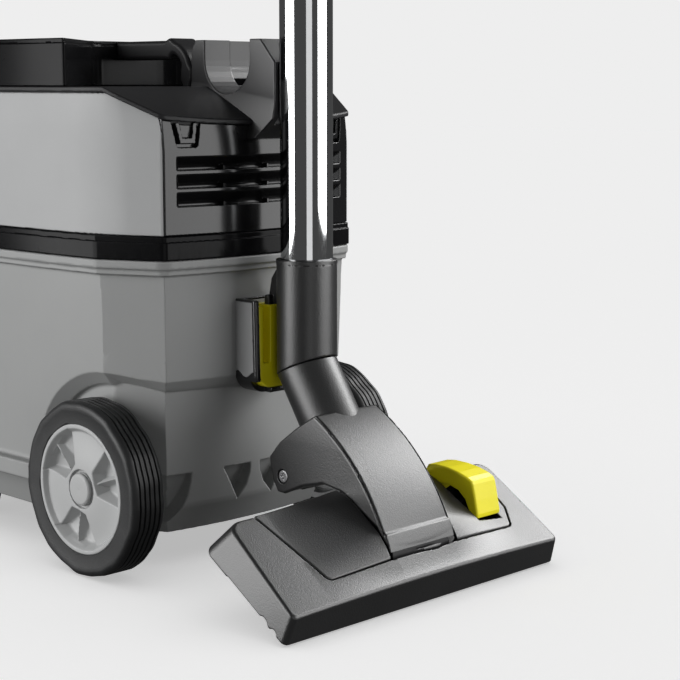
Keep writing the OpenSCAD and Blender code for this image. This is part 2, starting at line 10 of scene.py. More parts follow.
import bpy
import numpy as np
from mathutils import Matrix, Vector


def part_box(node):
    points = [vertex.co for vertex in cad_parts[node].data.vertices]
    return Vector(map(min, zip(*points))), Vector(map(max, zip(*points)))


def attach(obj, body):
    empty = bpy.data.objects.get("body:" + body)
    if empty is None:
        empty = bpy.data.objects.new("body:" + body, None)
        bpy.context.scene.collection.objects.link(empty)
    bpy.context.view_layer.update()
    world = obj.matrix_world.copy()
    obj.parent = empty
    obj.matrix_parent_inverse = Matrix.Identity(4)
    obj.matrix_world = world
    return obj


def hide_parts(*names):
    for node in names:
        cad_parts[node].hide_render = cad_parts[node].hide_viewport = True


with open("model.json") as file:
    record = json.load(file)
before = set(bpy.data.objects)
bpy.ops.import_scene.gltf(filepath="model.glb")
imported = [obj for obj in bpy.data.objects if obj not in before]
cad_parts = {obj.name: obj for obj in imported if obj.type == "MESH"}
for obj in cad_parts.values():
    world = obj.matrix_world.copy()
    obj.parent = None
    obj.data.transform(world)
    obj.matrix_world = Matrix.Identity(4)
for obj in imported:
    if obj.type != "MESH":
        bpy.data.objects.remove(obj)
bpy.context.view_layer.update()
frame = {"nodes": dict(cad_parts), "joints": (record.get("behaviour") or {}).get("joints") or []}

JOINTS = {j["name"]: j for j in frame["joints"]}
MM = 0.001
COARSE = 1.0
AXLE_Y = JOINTS["left_wheel_spin"]["pos_m"][1] / MM


def place_of(joint):
    """Place of a joint in millimetres, measured from the rear axle."""
    x, y, z = (c / MM for c in JOINTS[joint]["pos_m"])
    return np.array([x, y - AXLE_Y, z])


def span(node):
    """Lowest and highest corner of a CAD node in millimetres from the rear axle."""
    low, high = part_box(node)
    shift = np.array([0, AXLE_Y, 0])
    return np.array(low) / MM - shift, np.array(high) / MM - shift


WHEEL_Z = place_of("left_wheel_spin")[2]
TUBE_Y = place_of("neck_swivel")[1]
SWIVEL_Z = place_of("neck_swivel")[2]
PIVOT = place_of("head_pitch")
ROLLER = place_of("roller_spin")
BAND_LOW, BAND_HIGH = span("bumper_band")
BODY_Y = (BAND_LOW[1] + BAND_HIGH[1]) / 2
HALF_W = BAND_HIGH[0]
HALF_L = BAND_HIGH[1] - BODY_Y
BAND_Z0, BAND_Z1 = BAND_LOW[2], BAND_HIGH[2]
DECK_Z = span("deck")[1][2]
TRAY_Z = span("top_tray")[1][2]
HEAD_TILT = math.atan2(*JOINTS["brush_lift"]["axis"][1:])
PIVOT_A, PIVOT_N = 45, 8  # the pitch axis behind the head's front edge and above its sole
HEAD_BACK = PIVOT[1] + PIVOT_A * math.cos(HEAD_TILT) - PIVOT_N * math.sin(HEAD_TILT)

# ---- Distance functions ----


def rmax(radius, *distances):
    """Intersection with a rounded edge."""
    out = distances[0]
    for d in distances[1:]:
        a, b = out + radius, d + radius
        out = np.hypot(np.maximum(a, 0), np.maximum(b, 0)) - radius + np.minimum(np.maximum(a, b), 0)
    return out


def rmin(radius, *distances):
    """Union with a filleted edge."""
    return -rmax(radius, *(-d for d in distances))


def between(v, low, high):
    return np.abs(v - (low + high) / 2) - (high - low) / 2


def polygon(u, v, points):
    """Distance to a polygon's outline, negative inside."""
    points = np.array(points, float)
    best, inside = None, np.zeros(np.shape(u), bool)
    for (ax, ay), (bx, by) in zip(points, np.roll(points, -1, 0)):
        ex, ey = bx - ax, by - ay
        t = np.clip(((u - ax) * ex + (v - ay) * ey) / (ex * ex + ey * ey), 0, 1)
        d = np.hypot(u - ax - t * ex, v - ay - t * ey)
        best = d if best is None else np.minimum(best, d)
        if ay != by:
            inside ^= ((ay > v) != (by > v)) & (u < ex * (v - ay) / (by - ay) + ax)
    return np.where(inside, -best, best)


def arc(cu, cv, radius, start, end, count):
    angles = np.radians(np.linspace(start, end, count + 1))
    return [(cu + radius * math.cos(a), cv + radius * math.sin(a)) for a in angles]


def step(v, low, high):
    """Smooth step from 0 to 1."""
    t = np.clip((v - low) / (high - low), 0, 1)
    return t * t * (3 - 2 * t)


# ---- From distance function to mesh ----

CORNERS = np.array([(i, j, k) for i in (0, 1) for j in (0, 1) for k in (0, 1)])
EDGES = [(a, b) for a in range(8) for b in range(a) if np.abs(CORNERS[a] - CORNERS[b]).sum() == 1]
BLOCK = 8  # cells along each side of a block


def surface_net(f, low, high, cell):
    """Points and quads of the surface f = 0 inside a box.

    The box is cut into blocks of cells, and blocks that the surface can't reach are left out.
    """
    low = np.array(low, float) - 1.37 * cell
    blocks = np.ceil((np.array(high) + 1.41 * cell - low) / (cell * BLOCK)).astype(int)
    start = np.indices(blocks).reshape(3, -1).T * BLOCK
    near = np.abs(f((low + (start + BLOCK / 2) * cell).T)) < BLOCK * cell * 1.5
    start = start[near]
    local = np.indices((BLOCK + 1,) * 3)
    at = start[:, :, None, None, None] + local[None]
    value = np.concatenate([
        f([low[d] + part[:, d] * cell for d in range(3)]) for part in np.array_split(at, 1 + len(at) // 400)
    ])
    value = np.where(np.abs(value) < 1e-9, 1e-9, value)
    solid = value < 0
    size = blocks * BLOCK + 4

    def key(index):
        return ((index[..., 0] + 1) * size[1] + index[..., 1] + 1) * size[2] + index[..., 2] + 1

    cells = [solid[:, i:i + BLOCK, j:j + BLOCK, k:k + BLOCK] for i, j, k in CORNERS]
    count = sum(c.astype(np.int8) for c in cells)
    where = np.nonzero((count > 0) & (count < 8))
    base = start[where[0]] + np.stack(where[1:], 1)
    corner_values = np.stack([
        value[where[0], where[1] + i, where[2] + j, where[3] + k] for i, j, k in CORNERS
    ], 1)
    total, hits = np.zeros((len(base), 3)), np.zeros(len(base))
    for a, b in EDGES:
        va, vb = corner_values[:, a], corner_values[:, b]
        cross = (va < 0) != (vb < 0)
        t = np.where(cross, va / np.where(cross, va - vb, 1), 0)
        total += np.where(cross[:, None], CORNERS[a] + t[:, None] * (CORNERS[b] - CORNERS[a]), 0)
        hits += cross
    points = low + (base + total / hits[:, None]) * cell
    keys = key(base)
    order = np.argsort(keys)
    keys, points = keys[order], points[order]
    quads = []
    for axis in range(3):
        u, w = [d for d in range(3) if d != axis]
        if axis == 1:
            u, w = w, u
        ahead = [slice(0, BLOCK)] * 3
        ahead[axis] = slice(1, BLOCK + 1)
        first = solid[:, :BLOCK, :BLOCK, :BLOCK]
        crossing = np.nonzero(first != solid[(slice(None), *ahead)])
        index = start[crossing[0]] + np.stack(crossing[1:], 1)
        ring = []
        for du, dw in ((0, 0), (-1, 0), (-1, -1), (0, -1)):
            around = index.copy()
            around[:, u] += du
            around[:, w] += dw
            ring.append(key(around))
        ring = np.stack(ring, 1)
        found = np.minimum(np.searchsorted(keys, ring), len(keys) - 1)
        whole = (keys[found] == ring).all(1)
        flip = ~first[crossing][whole]
        rows = found[whole]
        rows[flip] = rows[flip][:, ::-1]
        quads.append(rows)
    return points, np.concatenate(quads)


def gradient(f, p, reach=0.03):
    steps = np.eye(3) * reach
    return np.stack([f((p + s).T) - f((p - s).T) for s in steps], 1) / (2 * reach)


def settle(f, p, cell, rounds=2):
    """Moves points onto the surface."""
    for _ in range(rounds):
        g = gradient(f, p)
        shift = f(p.T)[:, None] * g / np.maximum((g * g).sum(1), 0.2)[:, None]
        length = np.linalg.norm(shift, axis=1, keepdims=True)
        p = p - shift * np.minimum(1, 0.7 * cell / np.maximum(length, 1e-9))
    return p


def to_metres(p):
    """From millimetres behind the rear axle to the part's own metres."""
    return (np.asarray(p) + np.array([0, AXLE_Y, 0])) * MM


def finish_piece(ob, body, surface, nodes=None):
    """Gives a piece its material, body and the CAD nodes that it replaces.

    A piece is named NODE_WORD after the one node that it replaces, unless nodes says otherwise.
    """
    ob.data.materials.clear()
    ob.data.materials.append(surface)
    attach(ob, body)
    if nodes is None:
        nodes = [ob.name.rpartition("_")[0]]
    if nodes:
        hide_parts(*nodes)
    return ob


def new_mesh(name, points, faces):
    mesh = bpy.data.meshes.new(name)
    mesh.vertices.add(len(points))
    mesh.vertices.foreach_set("co", np.asarray(points, np.float32).ravel())
    faces = [list(face) for face in faces] if not isinstance(faces, np.ndarray) else faces
    sizes = np.array([len(face) for face in faces])
    mesh.loops.add(int(sizes.sum()))
    mesh.polygons.add(len(faces))
    mesh.loops.foreach_set("vertex_index", np.concatenate(faces).astype(np.int32))
    starts = np.concatenate([[0], np.cumsum(sizes)[:-1]])
    mesh.polygons.foreach_set("loop_start", starts.astype(np.int32))
    mesh.update(calc_edges=True)
    mesh.validate()
    ob = bpy.data.objects.new(name, mesh)
    bpy.context.scene.collection.objects.link(ob)
    return ob


def moulded(name, body, f, low, high, cell, surface, keep=0.3, frame_of=None, nodes=None, slot=None):
    """A piece whose surface is f = 0 inside the box from low to high.

    cell is the mesh size before thinning, and keep the share of faces that thinning leaves.
    frame_of turns the function's own coordinates into x, y, z.
    """
    cell = cell * COARSE
    points, quads = surface_net(f, low, high, cell)
    points = settle(f, points, cell)
    ob = new_mesh(name, points, quads)
    if keep < 1:
        thin = ob.modifiers.new("thin", "DECIMATE")
        thin.ratio = keep
        evaluated = ob.evaluated_get(bpy.context.evaluated_depsgraph_get())
        mesh = bpy.data.meshes.new_from_object(evaluated)
        ob.modifiers.clear()
        ob.data = mesh
        mesh.name = name
        points = np.empty(len(mesh.vertices) * 3)
        mesh.vertices.foreach_get("co", points)
        points = settle(f, points.reshape(-1, 3), cell, 1)
    normals = gradient(f, points, 0.1)
    if frame_of is not None:
        normals = frame_of(points + normals) - frame_of(points)
        points = frame_of(points)
    normals /= np.maximum(np.linalg.norm(normals, axis=1, keepdims=True), 1e-9)
    mesh = ob.data
    mesh.vertices.foreach_set("co", to_metres(points).astype(np.float32).ravel())
    mesh.polygons.foreach_set("use_smooth", np.ones(len(mesh.polygons), bool))
    mesh.update()
    mesh.normals_split_custom_set_from_vertices(normals.tolist())
    return finish_piece(ob, body, surface, nodes)


def lathed(name, body, profile, centre, axis, surface, count=128, wobble=None):
    """A closed (radius, height) profile turned about an axis through centre.

    wobble(angle, height) is added to the radius.
    """
    axis = Vector(axis).normalized()
    turn = np.array(axis.to_track_quat("Z", "Y").to_matrix())
    profile = np.array(profile, float)
    angles = np.arange(count) * 2 * math.pi / count
    radius = np.broadcast_to(profile[None, :, 0], (count, len(profile)))
    if wobble is not None:
        radius = radius + wobble(angles[:, None], profile[None, :, 1])
    p = np.stack([radius * np.cos(angles)[:, None], radius * np.sin(angles)[:, None],
                  np.broadcast_to(profile[None, :, 1], radius.shape)], -1).reshape(-1, 3)
    m = len(profile)
    faces = [(i * m + j, ((i + 1) % count) * m + j, ((i + 1) % count) * m + (j + 1) % m, i * m + (j + 1) % m)
             for i in range(count) for j in range(m)]
    ob = new_mesh(name, to_metres(p @ turn.T + np.asarray(centre)), faces)
    ob.data.polygons.foreach_set("use_smooth", np.ones(len(faces), bool))
    ob.data.set_sharp_from_angle(angle=math.radians(32))
    return finish_piece(ob, body, surface)


def rounded_profile(points, radius, count=4):
    """Profile with each corner turned into a short arc."""
    out = []
    for i, b in enumerate(points):
        a, c = np.array(points[i - 1], float), np.array(points[(i + 1) % len(points)], float)
        b = np.array(b, float)
        u, v = a - b, c - b
        reach = min(radius, np.linalg.norm(u) * 0.45, np.linalg.norm(v) * 0.45)
        start, end = b + u / np.linalg.norm(u) * reach, b + v / np.linalg.norm(v) * reach
        for t in np.linspace(0, 1, count + 1):
            out.append((1 - t) ** 2 * start + 2 * t * (1 - t) * b + t * t * end)
    return out


def mirrored(half):
    """A profile made whole by its own mirror image."""
    return half + [(r, -z) for r, z in reversed(half)]


# ---- Materials ----


def fill(node, **inputs):
    """Sets a shader node's inputs to values, or links them to the outputs of other nodes."""
    for name, value in inputs.items():
        socket = node.inputs[name.replace("_", " ")]
        if isinstance(value, bpy.types.NodeSocket):
            node.id_data.links.new(value, socket)
        else:
            socket.default_value = value
    return node


def mix(nodes, blend="MIX", **inputs):
    """A node that mixes the colours A and B."""
    node = nodes.new("ShaderNodeMix")
    node.data_type = "RGBA"
    node.blend_type = blend
    return fill(node, **inputs).outputs["Result"]


def material(name, colour, rough, grain=2200, relief=0.25, mottle=0.06, smudge=0.08, metal=0.0,
             scratches=0.0, stretch=(1, 1, 1), specular=0.5):
    """A moulded or metal surface.

    grain is per metre, relief the depth of its grain, mottle its change of colour, smudge its
    change of gloss, scratches the strength of fine rubbed lines.
    """
    made = bpy.data.materials.new(name)
    made.use_nodes = True
    nodes = made.node_tree.nodes
    where = nodes.new("ShaderNodeTexCoord").outputs["Object"]

    def noise(scale, detail, squeeze=(1, 1, 1)):
        mapping = fill(nodes.new("ShaderNodeMapping"), Scale=squeeze, Vector=where)
        texture = nodes.new("ShaderNodeTexNoise")
        return fill(texture, Scale=scale, Detail=detail, Vector=mapping.outputs["Vector"]).outputs["Fac"]

    def spread(source, low, high, from_low=0.3, from_high=0.7):
        return fill(nodes.new("ShaderNodeMapRange"), Value=source, From_Min=from_low, From_Max=from_high,
                    To_Min=low, To_Max=high).outputs["Result"]

    tint = mix(nodes, Factor=spread(noise(26, 4), 0, 1), A=(*[c * (1 - mottle) for c in colour], 1),
               B=(*[min(1, c * (1 + mottle)) for c in colour], 1))
    fine = noise(grain, 2, stretch)
    speck = mix(nodes, "MULTIPLY", Factor=0.5, A=tint, B=spread(fine, 1 - 2.5 * mottle, 1 + 2.5 * mottle))
    gloss = spread(noise(9, 5), rough - smudge / 2, rough + smudge / 2)
    if scratches:
        total = nodes.new("ShaderNodeMath")
        lines = spread(noise(240, 6, (1, 1, 14)), 0, scratches, 0.56, 0.72)
        for source, socket in zip((gloss, lines), total.inputs):
            made.node_tree.links.new(source, socket)
        gloss = total.outputs["Value"]
    bump = fill(nodes.new("ShaderNodeBump"), Strength=relief, Distance=0.00012, Height=fine)
    fill(nodes["Principled BSDF"], Base_Color=speck, Roughness=gloss, Normal=bump.outputs["Normal"],
         Metallic=metal, Specular_IOR_Level=specular)
    return made


CONTAINER_GREY = material("container_grey", (0.270, 0.274, 0.272), 0.45, 3200, 0.10, 0.02, specular=0.35)
PANEL_GREY = material("panel_grey", (0.350, 0.354, 0.356), 0.42, 3200, 0.08, 0.02, specular=0.3)
HUB_GREY = material("hub_grey", (0.40, 0.405, 0.405), 0.45, 2600, 0.12, 0.03, specular=0.4)
GLOSS_BLACK = material("gloss_black", (0.006, 0.006, 0.0065), 0.16, 900, 0.02, 0.10, 0.05, specular=0.06)
SATIN_BLACK = material("satin_black", (0.016, 0.016, 0.017), 0.40, 3000, 0.15, 0.05, 0.08, specular=0.2)
CRADLE_BLACK = material("cradle_black", (0.022, 0.022, 0.023), 0.36, 3000, 0.12, 0.05,
                        specular=0.5)
REAR_BLACK = material("rear_black", (0.007, 0.007, 0.0075), 0.15, 900, 0.03, 0.10, 0.06,
                      specular=0.4)
BRACKET_BLACK = material("bracket_black", (0.012, 0.012, 0.0125), 0.24, 900, 0.04, 0.10, 0.08,
                         specular=0.9)
TEXTURED_BLACK = material("textured_black", (0.008, 0.0082, 0.0085), 0.39, 1100, 1.0, 0.2, 0.06,
                          specular=0.95)
YELLOW = material("yellow", (0.93, 0.83, 0.010), 0.36, 2600, 0.10, 0.03)
CHROME = material("chrome", (0.70, 0.71, 0.72), 0.05, 300, 0.004, 0.01, 0.02, metal=1.0, scratches=0.01)
STEEL = material("steel", (0.52, 0.52, 0.53), 0.32, 700, 0.2, 0.05, 0.1, metal=1.0,
                 scratches=0.15, stretch=(1, 1, 20))
TYRE_BLACK = material("tyre_black", (0.013, 0.0135, 0.014), 0.50, 900, 0.8, 0.16, 0.12,
                      scratches=0.15, specular=0.4)
SOFT_RUBBER = material("soft_rubber", (0.03, 0.03, 0.031), 0.6, 1500, 0.4, 0.08)
BRISTLE = material("bristle", (0.012, 0.012, 0.012), 0.45, 900, 0.2, 0.15)
FLEECE = material("fleece", (0.62, 0.60, 0.55), 0.9, 700, 1.0, 0.08)
PAPER = material("filter_paper", (0.68, 0.68, 0.65), 0.85, 900, 0.8, 0.06)
MOTOR_METAL = material("motor_metal", (0.33, 0.28, 0.22), 0.42, 900, 0.3, 0.08, metal=0.6)

INNER_MATERIALS = {
    "motor": MOTOR_METAL, "fan_housing": STEEL, "filter_bag": FLEECE, "exhaust_filter": PAPER,
    "container_seal": SOFT_RUBBER, "cable_gland": SOFT_RUBBER, "rear_axles": STEEL, "latch_pin": STEEL,
    "castor_axle_left": STEEL, "castor_axle_right": STEEL, "roller_axle": STEEL, "pivot_pin": STEEL,
    "pedal_pin": STEEL, "sole_plate": STEEL, "yoke_screws": STEEL,
}
for node_name, node_object in frame["nodes"].items():
    node_object.data.materials.clear()
    node_object.data.materials.append(INNER_MATERIALS.get(node_name, SATIN_BLACK))

# ---- Body outline ----

CROWN_X, CROWN_Y, SIDE_Y, SIDE_RISE = 86, 158, 112, 3.5
SIDE_R = (SIDE_Y ** 2 + SIDE_RISE ** 2) / (2 * SIDE_RISE)
CROWN_H = HALF_L - CROWN_Y
CROWN_R = (CROWN_X ** 2 + CROWN_H ** 2) / (2 * CROWN_H)
FACET = np.array([CROWN_Y - SIDE_Y, HALF_W - SIDE_RISE - CROWN_X])
FACET = FACET / np.hypot(*FACET)


def plan(p, inset=0.0, bend=1.5, corner=4.0):
    """Distance to the body's outline: bowed sides, a flat facet at each corner, a bowed front and rear."""
    x, y = np.abs(p[0]), np.abs(p[1] - BODY_Y)
    side = np.hypot(x + SIDE_R - HALF_W, y) - SIDE_R
    facet = FACET[0] * (x - HALF_W + SIDE_RISE) + FACET[1] * (y - SIDE_Y)
    crown = np.hypot(x, y + CROWN_R - HALF_L) - CROWN_R
    return rmax(corner, rmax(bend, side, facet), crown) + inset


def body_box(low, high):
    """Corners of a box round the whole body between two heights."""
    return (-HALF_W, BODY_Y - HALF_L, low), (HALF_W, BODY_Y + HALF_L, high)


# ---- Container ----

LIP_Z, WALL_Z, FLOOR_Z, FRONT_FLOOR_Z = BAND_Z0 - 6, 64, 25, 52
ARCH_R, FENDER_Z = 76, 135
SOCKET_Z = 150


def arch_region(p):
    """Side view of a wheel arch: round in front of the wheel, open to the rear corner."""
    circle = np.hypot(p[1], p[2] - WHEEL_Z) - ARCH_R
    rear = np.maximum(-p[1], p[2] - FENDER_Z + 0.07 * p[1])
    return rmin(1, circle, rear)


def fin_recess(p):
    """Dark recesses between the ribs under the rear wall."""
    out = None
    for outline in ([(28, 66), (4.5, 66), (5.2, 59), (8.5, 51), (15.8, 42.5), (21.5, 54)],
                    [(84, 66), (54.7, 66), (55.3, 60), (58, 50), (63.5, 40), (73, 31), (84, 31)]):
        one = polygon(np.abs(p[0]), p[2], outline)
        out = one if out is None else np.minimum(out, one)
    return np.maximum(out, BODY_Y + HALF_L - 60 - p[1])


def container_shape(p):
    x, y, z = p
    draft = 5.3 + (200 - z) * 0.03
    outer = plan(p, 0, 0.8, 5)
    wall = rmax(1.5, outer + draft, z - BAND_Z0)
    slant = (outer + 9.4 + (WALL_Z - z) * 0.4256) / 1.087
    wall = rmax(0.8, rmax(3, wall, FLOOR_Z - z), slant)
    wall = np.maximum(wall, -rmax(1, fin_recess(p), -(slant + 13)))
    lip = rmax(1.0, outer, between(z, LIP_Z, BAND_Z0 - 0.3))
    rim = rmax(0.8, outer + 1.6, between(z, LIP_Z - 4, BAND_Z0 - 1))
    wall = rmin(1.2, wall, rim, lip)
    ledge = rmax(1.2, outer + 1, between(z, FRONT_FLOOR_Z, WALL_Z), y + 58 + 0.8 * (z - FRONT_FLOOR_Z))
    wall = rmin(3, wall, ledge)
    region = arch_region(p)
    border = np.clip(-region, 0, 9) * 0.8
    pocket = rmax(1.5, region, -(outer + draft) - border)
    floor = rmax(1.5, region + 9, -(outer + draft + 8))
    well = rmax(2, np.hypot(y, z - WHEEL_Z) - 67, 91 - np.abs(x))
    wall = rmax(1, wall, -pocket, -floor, -well)
    wall = np.maximum(wall, -rmax(3, y + 165, z - FRONT_FLOOR_Z))
    stem = rmax(1, np.hypot(np.abs(x) - 68, y - BODY_Y + 104) - 10, between(z, FRONT_FLOOR_Z - 0.3, 70))
    wall = np.minimum(wall, stem)
    socket = rmax(1, np.hypot(x, z - SOCKET_Z) - 24.3, y - BODY_Y + HALF_L - 22)
    return np.maximum(wall, -socket)


moulded("container_shell", "machine", container_shape, *body_box(FLOOR_Z, BAND_Z0), 1.25, CONTAINER_GREY, 0.2,
        nodes=["container", "undercarriage"])

# ---- Motor head: band, panels, deck and tray ----

SLOPE_Y, SLOPE, TRIM = 8, 0.45, 3.5
BUTTON_Y = (span("power_button")[0][1] + span("power_button")[1][1]) / 2
PANEL_X, DECK_LOW = 84, 296


def deck_height(p):
    return DECK_Z - SLOPE * np.maximum(p[1] - SLOPE_Y, 0)


def band_shape(p):
    outer = plan(p, 0, 0.7, 2.5)
    low = rmax(0.7, outer, between(p[2], BAND_Z0 + 0.3, BAND_Z0 + 12))
    high = rmax(0.7, outer + 0.9, between(p[2], BAND_Z0 + 4, BAND_Z1 - 0.3))
    return np.maximum(np.minimum(low, high), -(outer + 9))


moulded("bumper_band_moulding", "machine", band_shape, *body_box(BAND_Z0, BAND_Z1), 0.9, GLOSS_BLACK, 0.15)


def shell_shape(p, bend=10, corner=3):
    """Upper shell: upright wall with a bevel along its top edge, which follows the deck."""
    outer = plan(p, 1.5, bend, corner)
    top = deck_height(p) - TRIM - 0.3
    bevel = (outer + 0.16 * (p[2] - top + 12)) / 1.013
    return rmax(0.5, rmax(1.5, outer, bevel), p[2] - top, BAND_Z1 + 0.2 - p[2]), outer


def side_panel(side):
    def shape(p):
        shell, outer = shell_shape(p)
        return rmax(0.5, np.maximum(shell, -(outer + 4)), PANEL_X + 0.25 - side * p[0])
    return shape


for name, side in (("left", 1), ("right", -1)):
    x_range = sorted((side * (PANEL_X - 2), side * HALF_W))
    moulded(f"side_panel_{name}_moulding", "machine", side_panel(side),
            (x_range[0], BODY_Y - HALF_L, BAND_Z1), (x_range[1], BODY_Y + HALF_L, DECK_Z), 1.0, PANEL_GREY,
            0.15)

LOUVRES = ((280, 271.2), (268.4, 259.4), (256.8, 247.6))
LOUVRE_X, LOUVRE_DEEP = 75, 7.5
TONGUE = [(-8.2, 302), (-5.6, 288.5), (5.6, 288.5), (8.2, 302)]


def louvre_cut(p, depth, top, bottom):
    """A scoop that slants inwards and down, with slanted ends and a slot along its foot."""
    x, z = np.abs(p[0]), p[2]
    scoop = rmax(0.8, -depth - 30, depth - LOUVRE_DEEP, bottom - z,
                 (z - top + depth * (top - bottom - 2.2) / LOUVRE_DEEP) * 0.75,
                 (x - LOUVRE_X + 0.8 * depth) * 0.78)
    rib = np.maximum(between((p[0] + 18.75 + 75) % 37.5 - 18.75, -0.8, 0.8), z - bottom - 2.6)
    return np.maximum(scoop, -np.maximum(rib, 1.2 - depth))


def rear_panel_shape(p):
    shell, outer = shell_shape(p)
    shell = rmax(0.5, shell, np.abs(p[0]) - PANEL_X, BODY_Y - p[1])
    depth = -outer
    body = np.maximum(shell, depth - 12)
    for top, bottom in LOUVRES:
        body = rmax(0.5, body, -louvre_cut(p, depth, top, bottom))
    x = np.abs(p[0]) - 66.5
    tongue = polygon(x, p[2], TONGUE)
    slot = rmax(0.4, np.abs(tongue - 1.3) - 1.3, depth - 5)
    body = rmax(0.3, body, -slot)
    face = rmax(1.0, tongue + 0.2, depth - 6, -depth - 0.6 - 0.08 * (300 - p[2]))
    hollow = rmax(0.8, polygon(x, p[2], [(-5.6, 304), (-3.4, 292), (3.4, 292), (5.6, 304)]), depth - 3.4)
    return np.maximum(np.minimum(body, np.maximum(face, shell - 0.6)), -hollow)


def front_panel_shape(p):
    shell, outer = shell_shape(p)
    return rmax(0.5, np.maximum(shell, -(outer + 4)), np.abs(p[0]) - PANEL_X, p[1] - BODY_Y)


moulded("rear_panel_moulding", "machine", rear_panel_shape, (-PANEL_X, 20, BAND_Z1),
        (PANEL_X, BODY_Y + HALF_L, 305), 0.55, REAR_BLACK)
moulded("front_panel_moulding", "machine", front_panel_shape, (-PANEL_X, BODY_Y - HALF_L, BAND_Z1),
        (PANEL_X, BODY_Y - HALF_L + 40, DECK_Z), 1.2, GLOSS_BLACK, 0.2)


def deck_shape(p):
    outer = plan(p, 0.5, 8, 2.5)
    top = deck_height(p)
    rim = rmax(1.0, outer, p[2] - top, top - TRIM - p[2])
    inner = rmax(1.5, outer + 4, p[2] - top, top - 8 - p[2])
    hole = np.hypot(p[0], p[1] - BUTTON_Y) - 30
    return np.maximum(np.minimum(rim, inner), -hole)


moulded("deck_moulding", "machine", deck_shape, *body_box(DECK_LOW, DECK_Z), 1.0, SATIN_BLACK, 0.15)

V_FRONT, V_SIDE = (33, -92), (106, -27)


def tray_plan(p, inset=0.0):
    """The tray's outline, whose rear edge runs in a V round the handle."""
    x, y = np.abs(p[0]), p[1]
    ex, ey = V_SIDE[0] - V_FRONT[0], V_SIDE[1] - V_FRONT[1]
    length = math.hypot(ex, ey)
    slant = (-(x - V_FRONT[0]) * ey + (y - V_FRONT[1]) * ex) / length
    rear = -rmax(6, -(y - V_FRONT[1]), -slant)
    return rmax(3, plan(p, 4, 9, 9), rear) + inset


def tray_shape(p):
    z = p[2]
    outer = tray_plan(p)
    wall = rmax(0.7, outer, z - TRAY_Z + 3.2, DECK_Z + 0.2 - z)
    wall = np.minimum(wall, rmax(1.0, outer + 1.1, z - TRAY_Z, DECK_Z + 5 - z))
    well = rmax(2, outer + 5, TRAY_Z - 6 - z)
    hole = np.hypot(p[0], p[1] - BUTTON_Y) - 26.6
    inside = rmax(2, outer + 4, z - TRAY_Z + 10)
    return np.maximum(wall, -np.minimum(well, np.minimum(hole, inside)))


moulded("top_tray_moulding", "machine", tray_shape, (-HALF_W, BODY_Y - HALF_L, DECK_Z), (HALF_W, 0, TRAY_Z),
        1.0, GLOSS_BLACK, 0.2)

CRADLE_X = span("tube_cradle")[1][0]
NOTCH_Y, NOTCH_Z, NOTCH_R = 27.3, 342.7, 22.7
FAR_ARM_X, FAR_ARM_Z, FLARE_Z = 38, 330, 328
CRADLE = ([(8, 318), (-10, 322), (-9, 350), (-5, 356.4), (4.6, 356.4)]
          + arc(NOTCH_Y, NOTCH_Z, NOTCH_R, 180, 360, 18)
          + [(50, 356.4), (60.5, 356.4), (74.5, 341), (74.5, 304), (62, 291), (52, 291)])
CRADLE_HOLLOW = [(61, 354), (80, 334), (80, 300), (66, 300), (57, 320)]


def cradle_shape(p):
    x, y, z = np.abs(p[0]), p[1], p[2]
    side = polygon(y, z, CRADLE)
    upright = rmax(1.0, side, x - CRADLE_X)
    flare = rmax(0.8, side, x - CRADLE_X - 0.055 * np.maximum(FLARE_Z - z - 0.15 * y, 0) ** 1.45)
    hollow = rmax(1.5, x - CRADLE_X + 3, polygon(y, z, CRADLE_HOLLOW))
    tube = np.hypot(x, y - TUBE_Y) - 18.6
    far_arm = rmax(1.0, side + 0.4, between(p[0], -FAR_ARM_X, -CRADLE_X + 2), y - 20, FAR_ARM_Z - z)
    body = np.minimum(np.maximum(np.minimum(upright, np.maximum(flare, z - FLARE_Z)), -hollow), far_arm)
    return rmax(0.6, body, -tube)


moulded("tube_cradle_moulding", "machine", cradle_shape, (-39, -12, 288), (30, 76, 358), 0.6, CRADLE_BLACK)


HANDLE_BEND = (-34, 334)


def handle_shape(p):
    x, y, z = np.abs(p[0]), p[1], p[2]
    r = np.hypot(y - HANDLE_BEND[0], z - HANDLE_BEND[1])
    line = rmin(6, rmax(0.5, r - 22.5, 14 - r, HANDLE_BEND[0] - y, HANDLE_BEND[1] - 4 - z),
                rmax(0.5, between(y, -93, -33), between(z, 343.5, 356.6)),
                rmax(0.5, between(y, -20.2, -11.6), between(z, 322, 336)))
    return rmax(3, line, x - 12)


moulded("carry_handle_moulding", "machine", handle_shape, (-12, -94, 321), (12, -10, 358), 0.7, SATIN_BLACK)

# ---- Wheels ----

WHEEL_LOW, WHEEL_HIGH = span("tyre_left")
WHEEL_X = (WHEEL_LOW[0] + WHEEL_HIGH[0]) / 2
WHEEL_R = (WHEEL_HIGH[2] - WHEEL_LOW[2]) / 2
HALF_TREAD = (WHEEL_HIGH[0] - WHEEL_LOW[0]) / 2
HUB_R = 44


def tyre_profile():
    edge = [(HUB_R + 0.1, 11.6), (HUB_R + 1.2, 12.6), (WHEEL_R - 6.5, 12.9), (WHEEL_R - 4.2, HALF_TREAD),
            (WHEEL_R - 2.2, 12.9), (WHEEL_R - 0.7, 11.4), (WHEEL_R, 9.6)]
    grooves = []
    for z in (8, 4, 0, -4, -8):
        for r, across in ((WHEEL_R, 0.75), (WHEEL_R - 1.3, 0.4), (WHEEL_R - 1.3, -0.4), (WHEEL_R, -0.75)):
            grooves.append((r, z + across))
    return edge + grooves + [(r, -z) for r, z in reversed(edge)]


def tyre_wobble(angle, height):
    """A pressed tyre is never quite round."""
    lumps = np.sin(9 * angle + 0.6) + 0.7 * np.sin(14 * angle + 2 + 0.08 * height) + 0.5 * np.sin(23 * angle)
    return -0.3 * (2.2 + lumps)


POCKETS = (20, 138, 258)


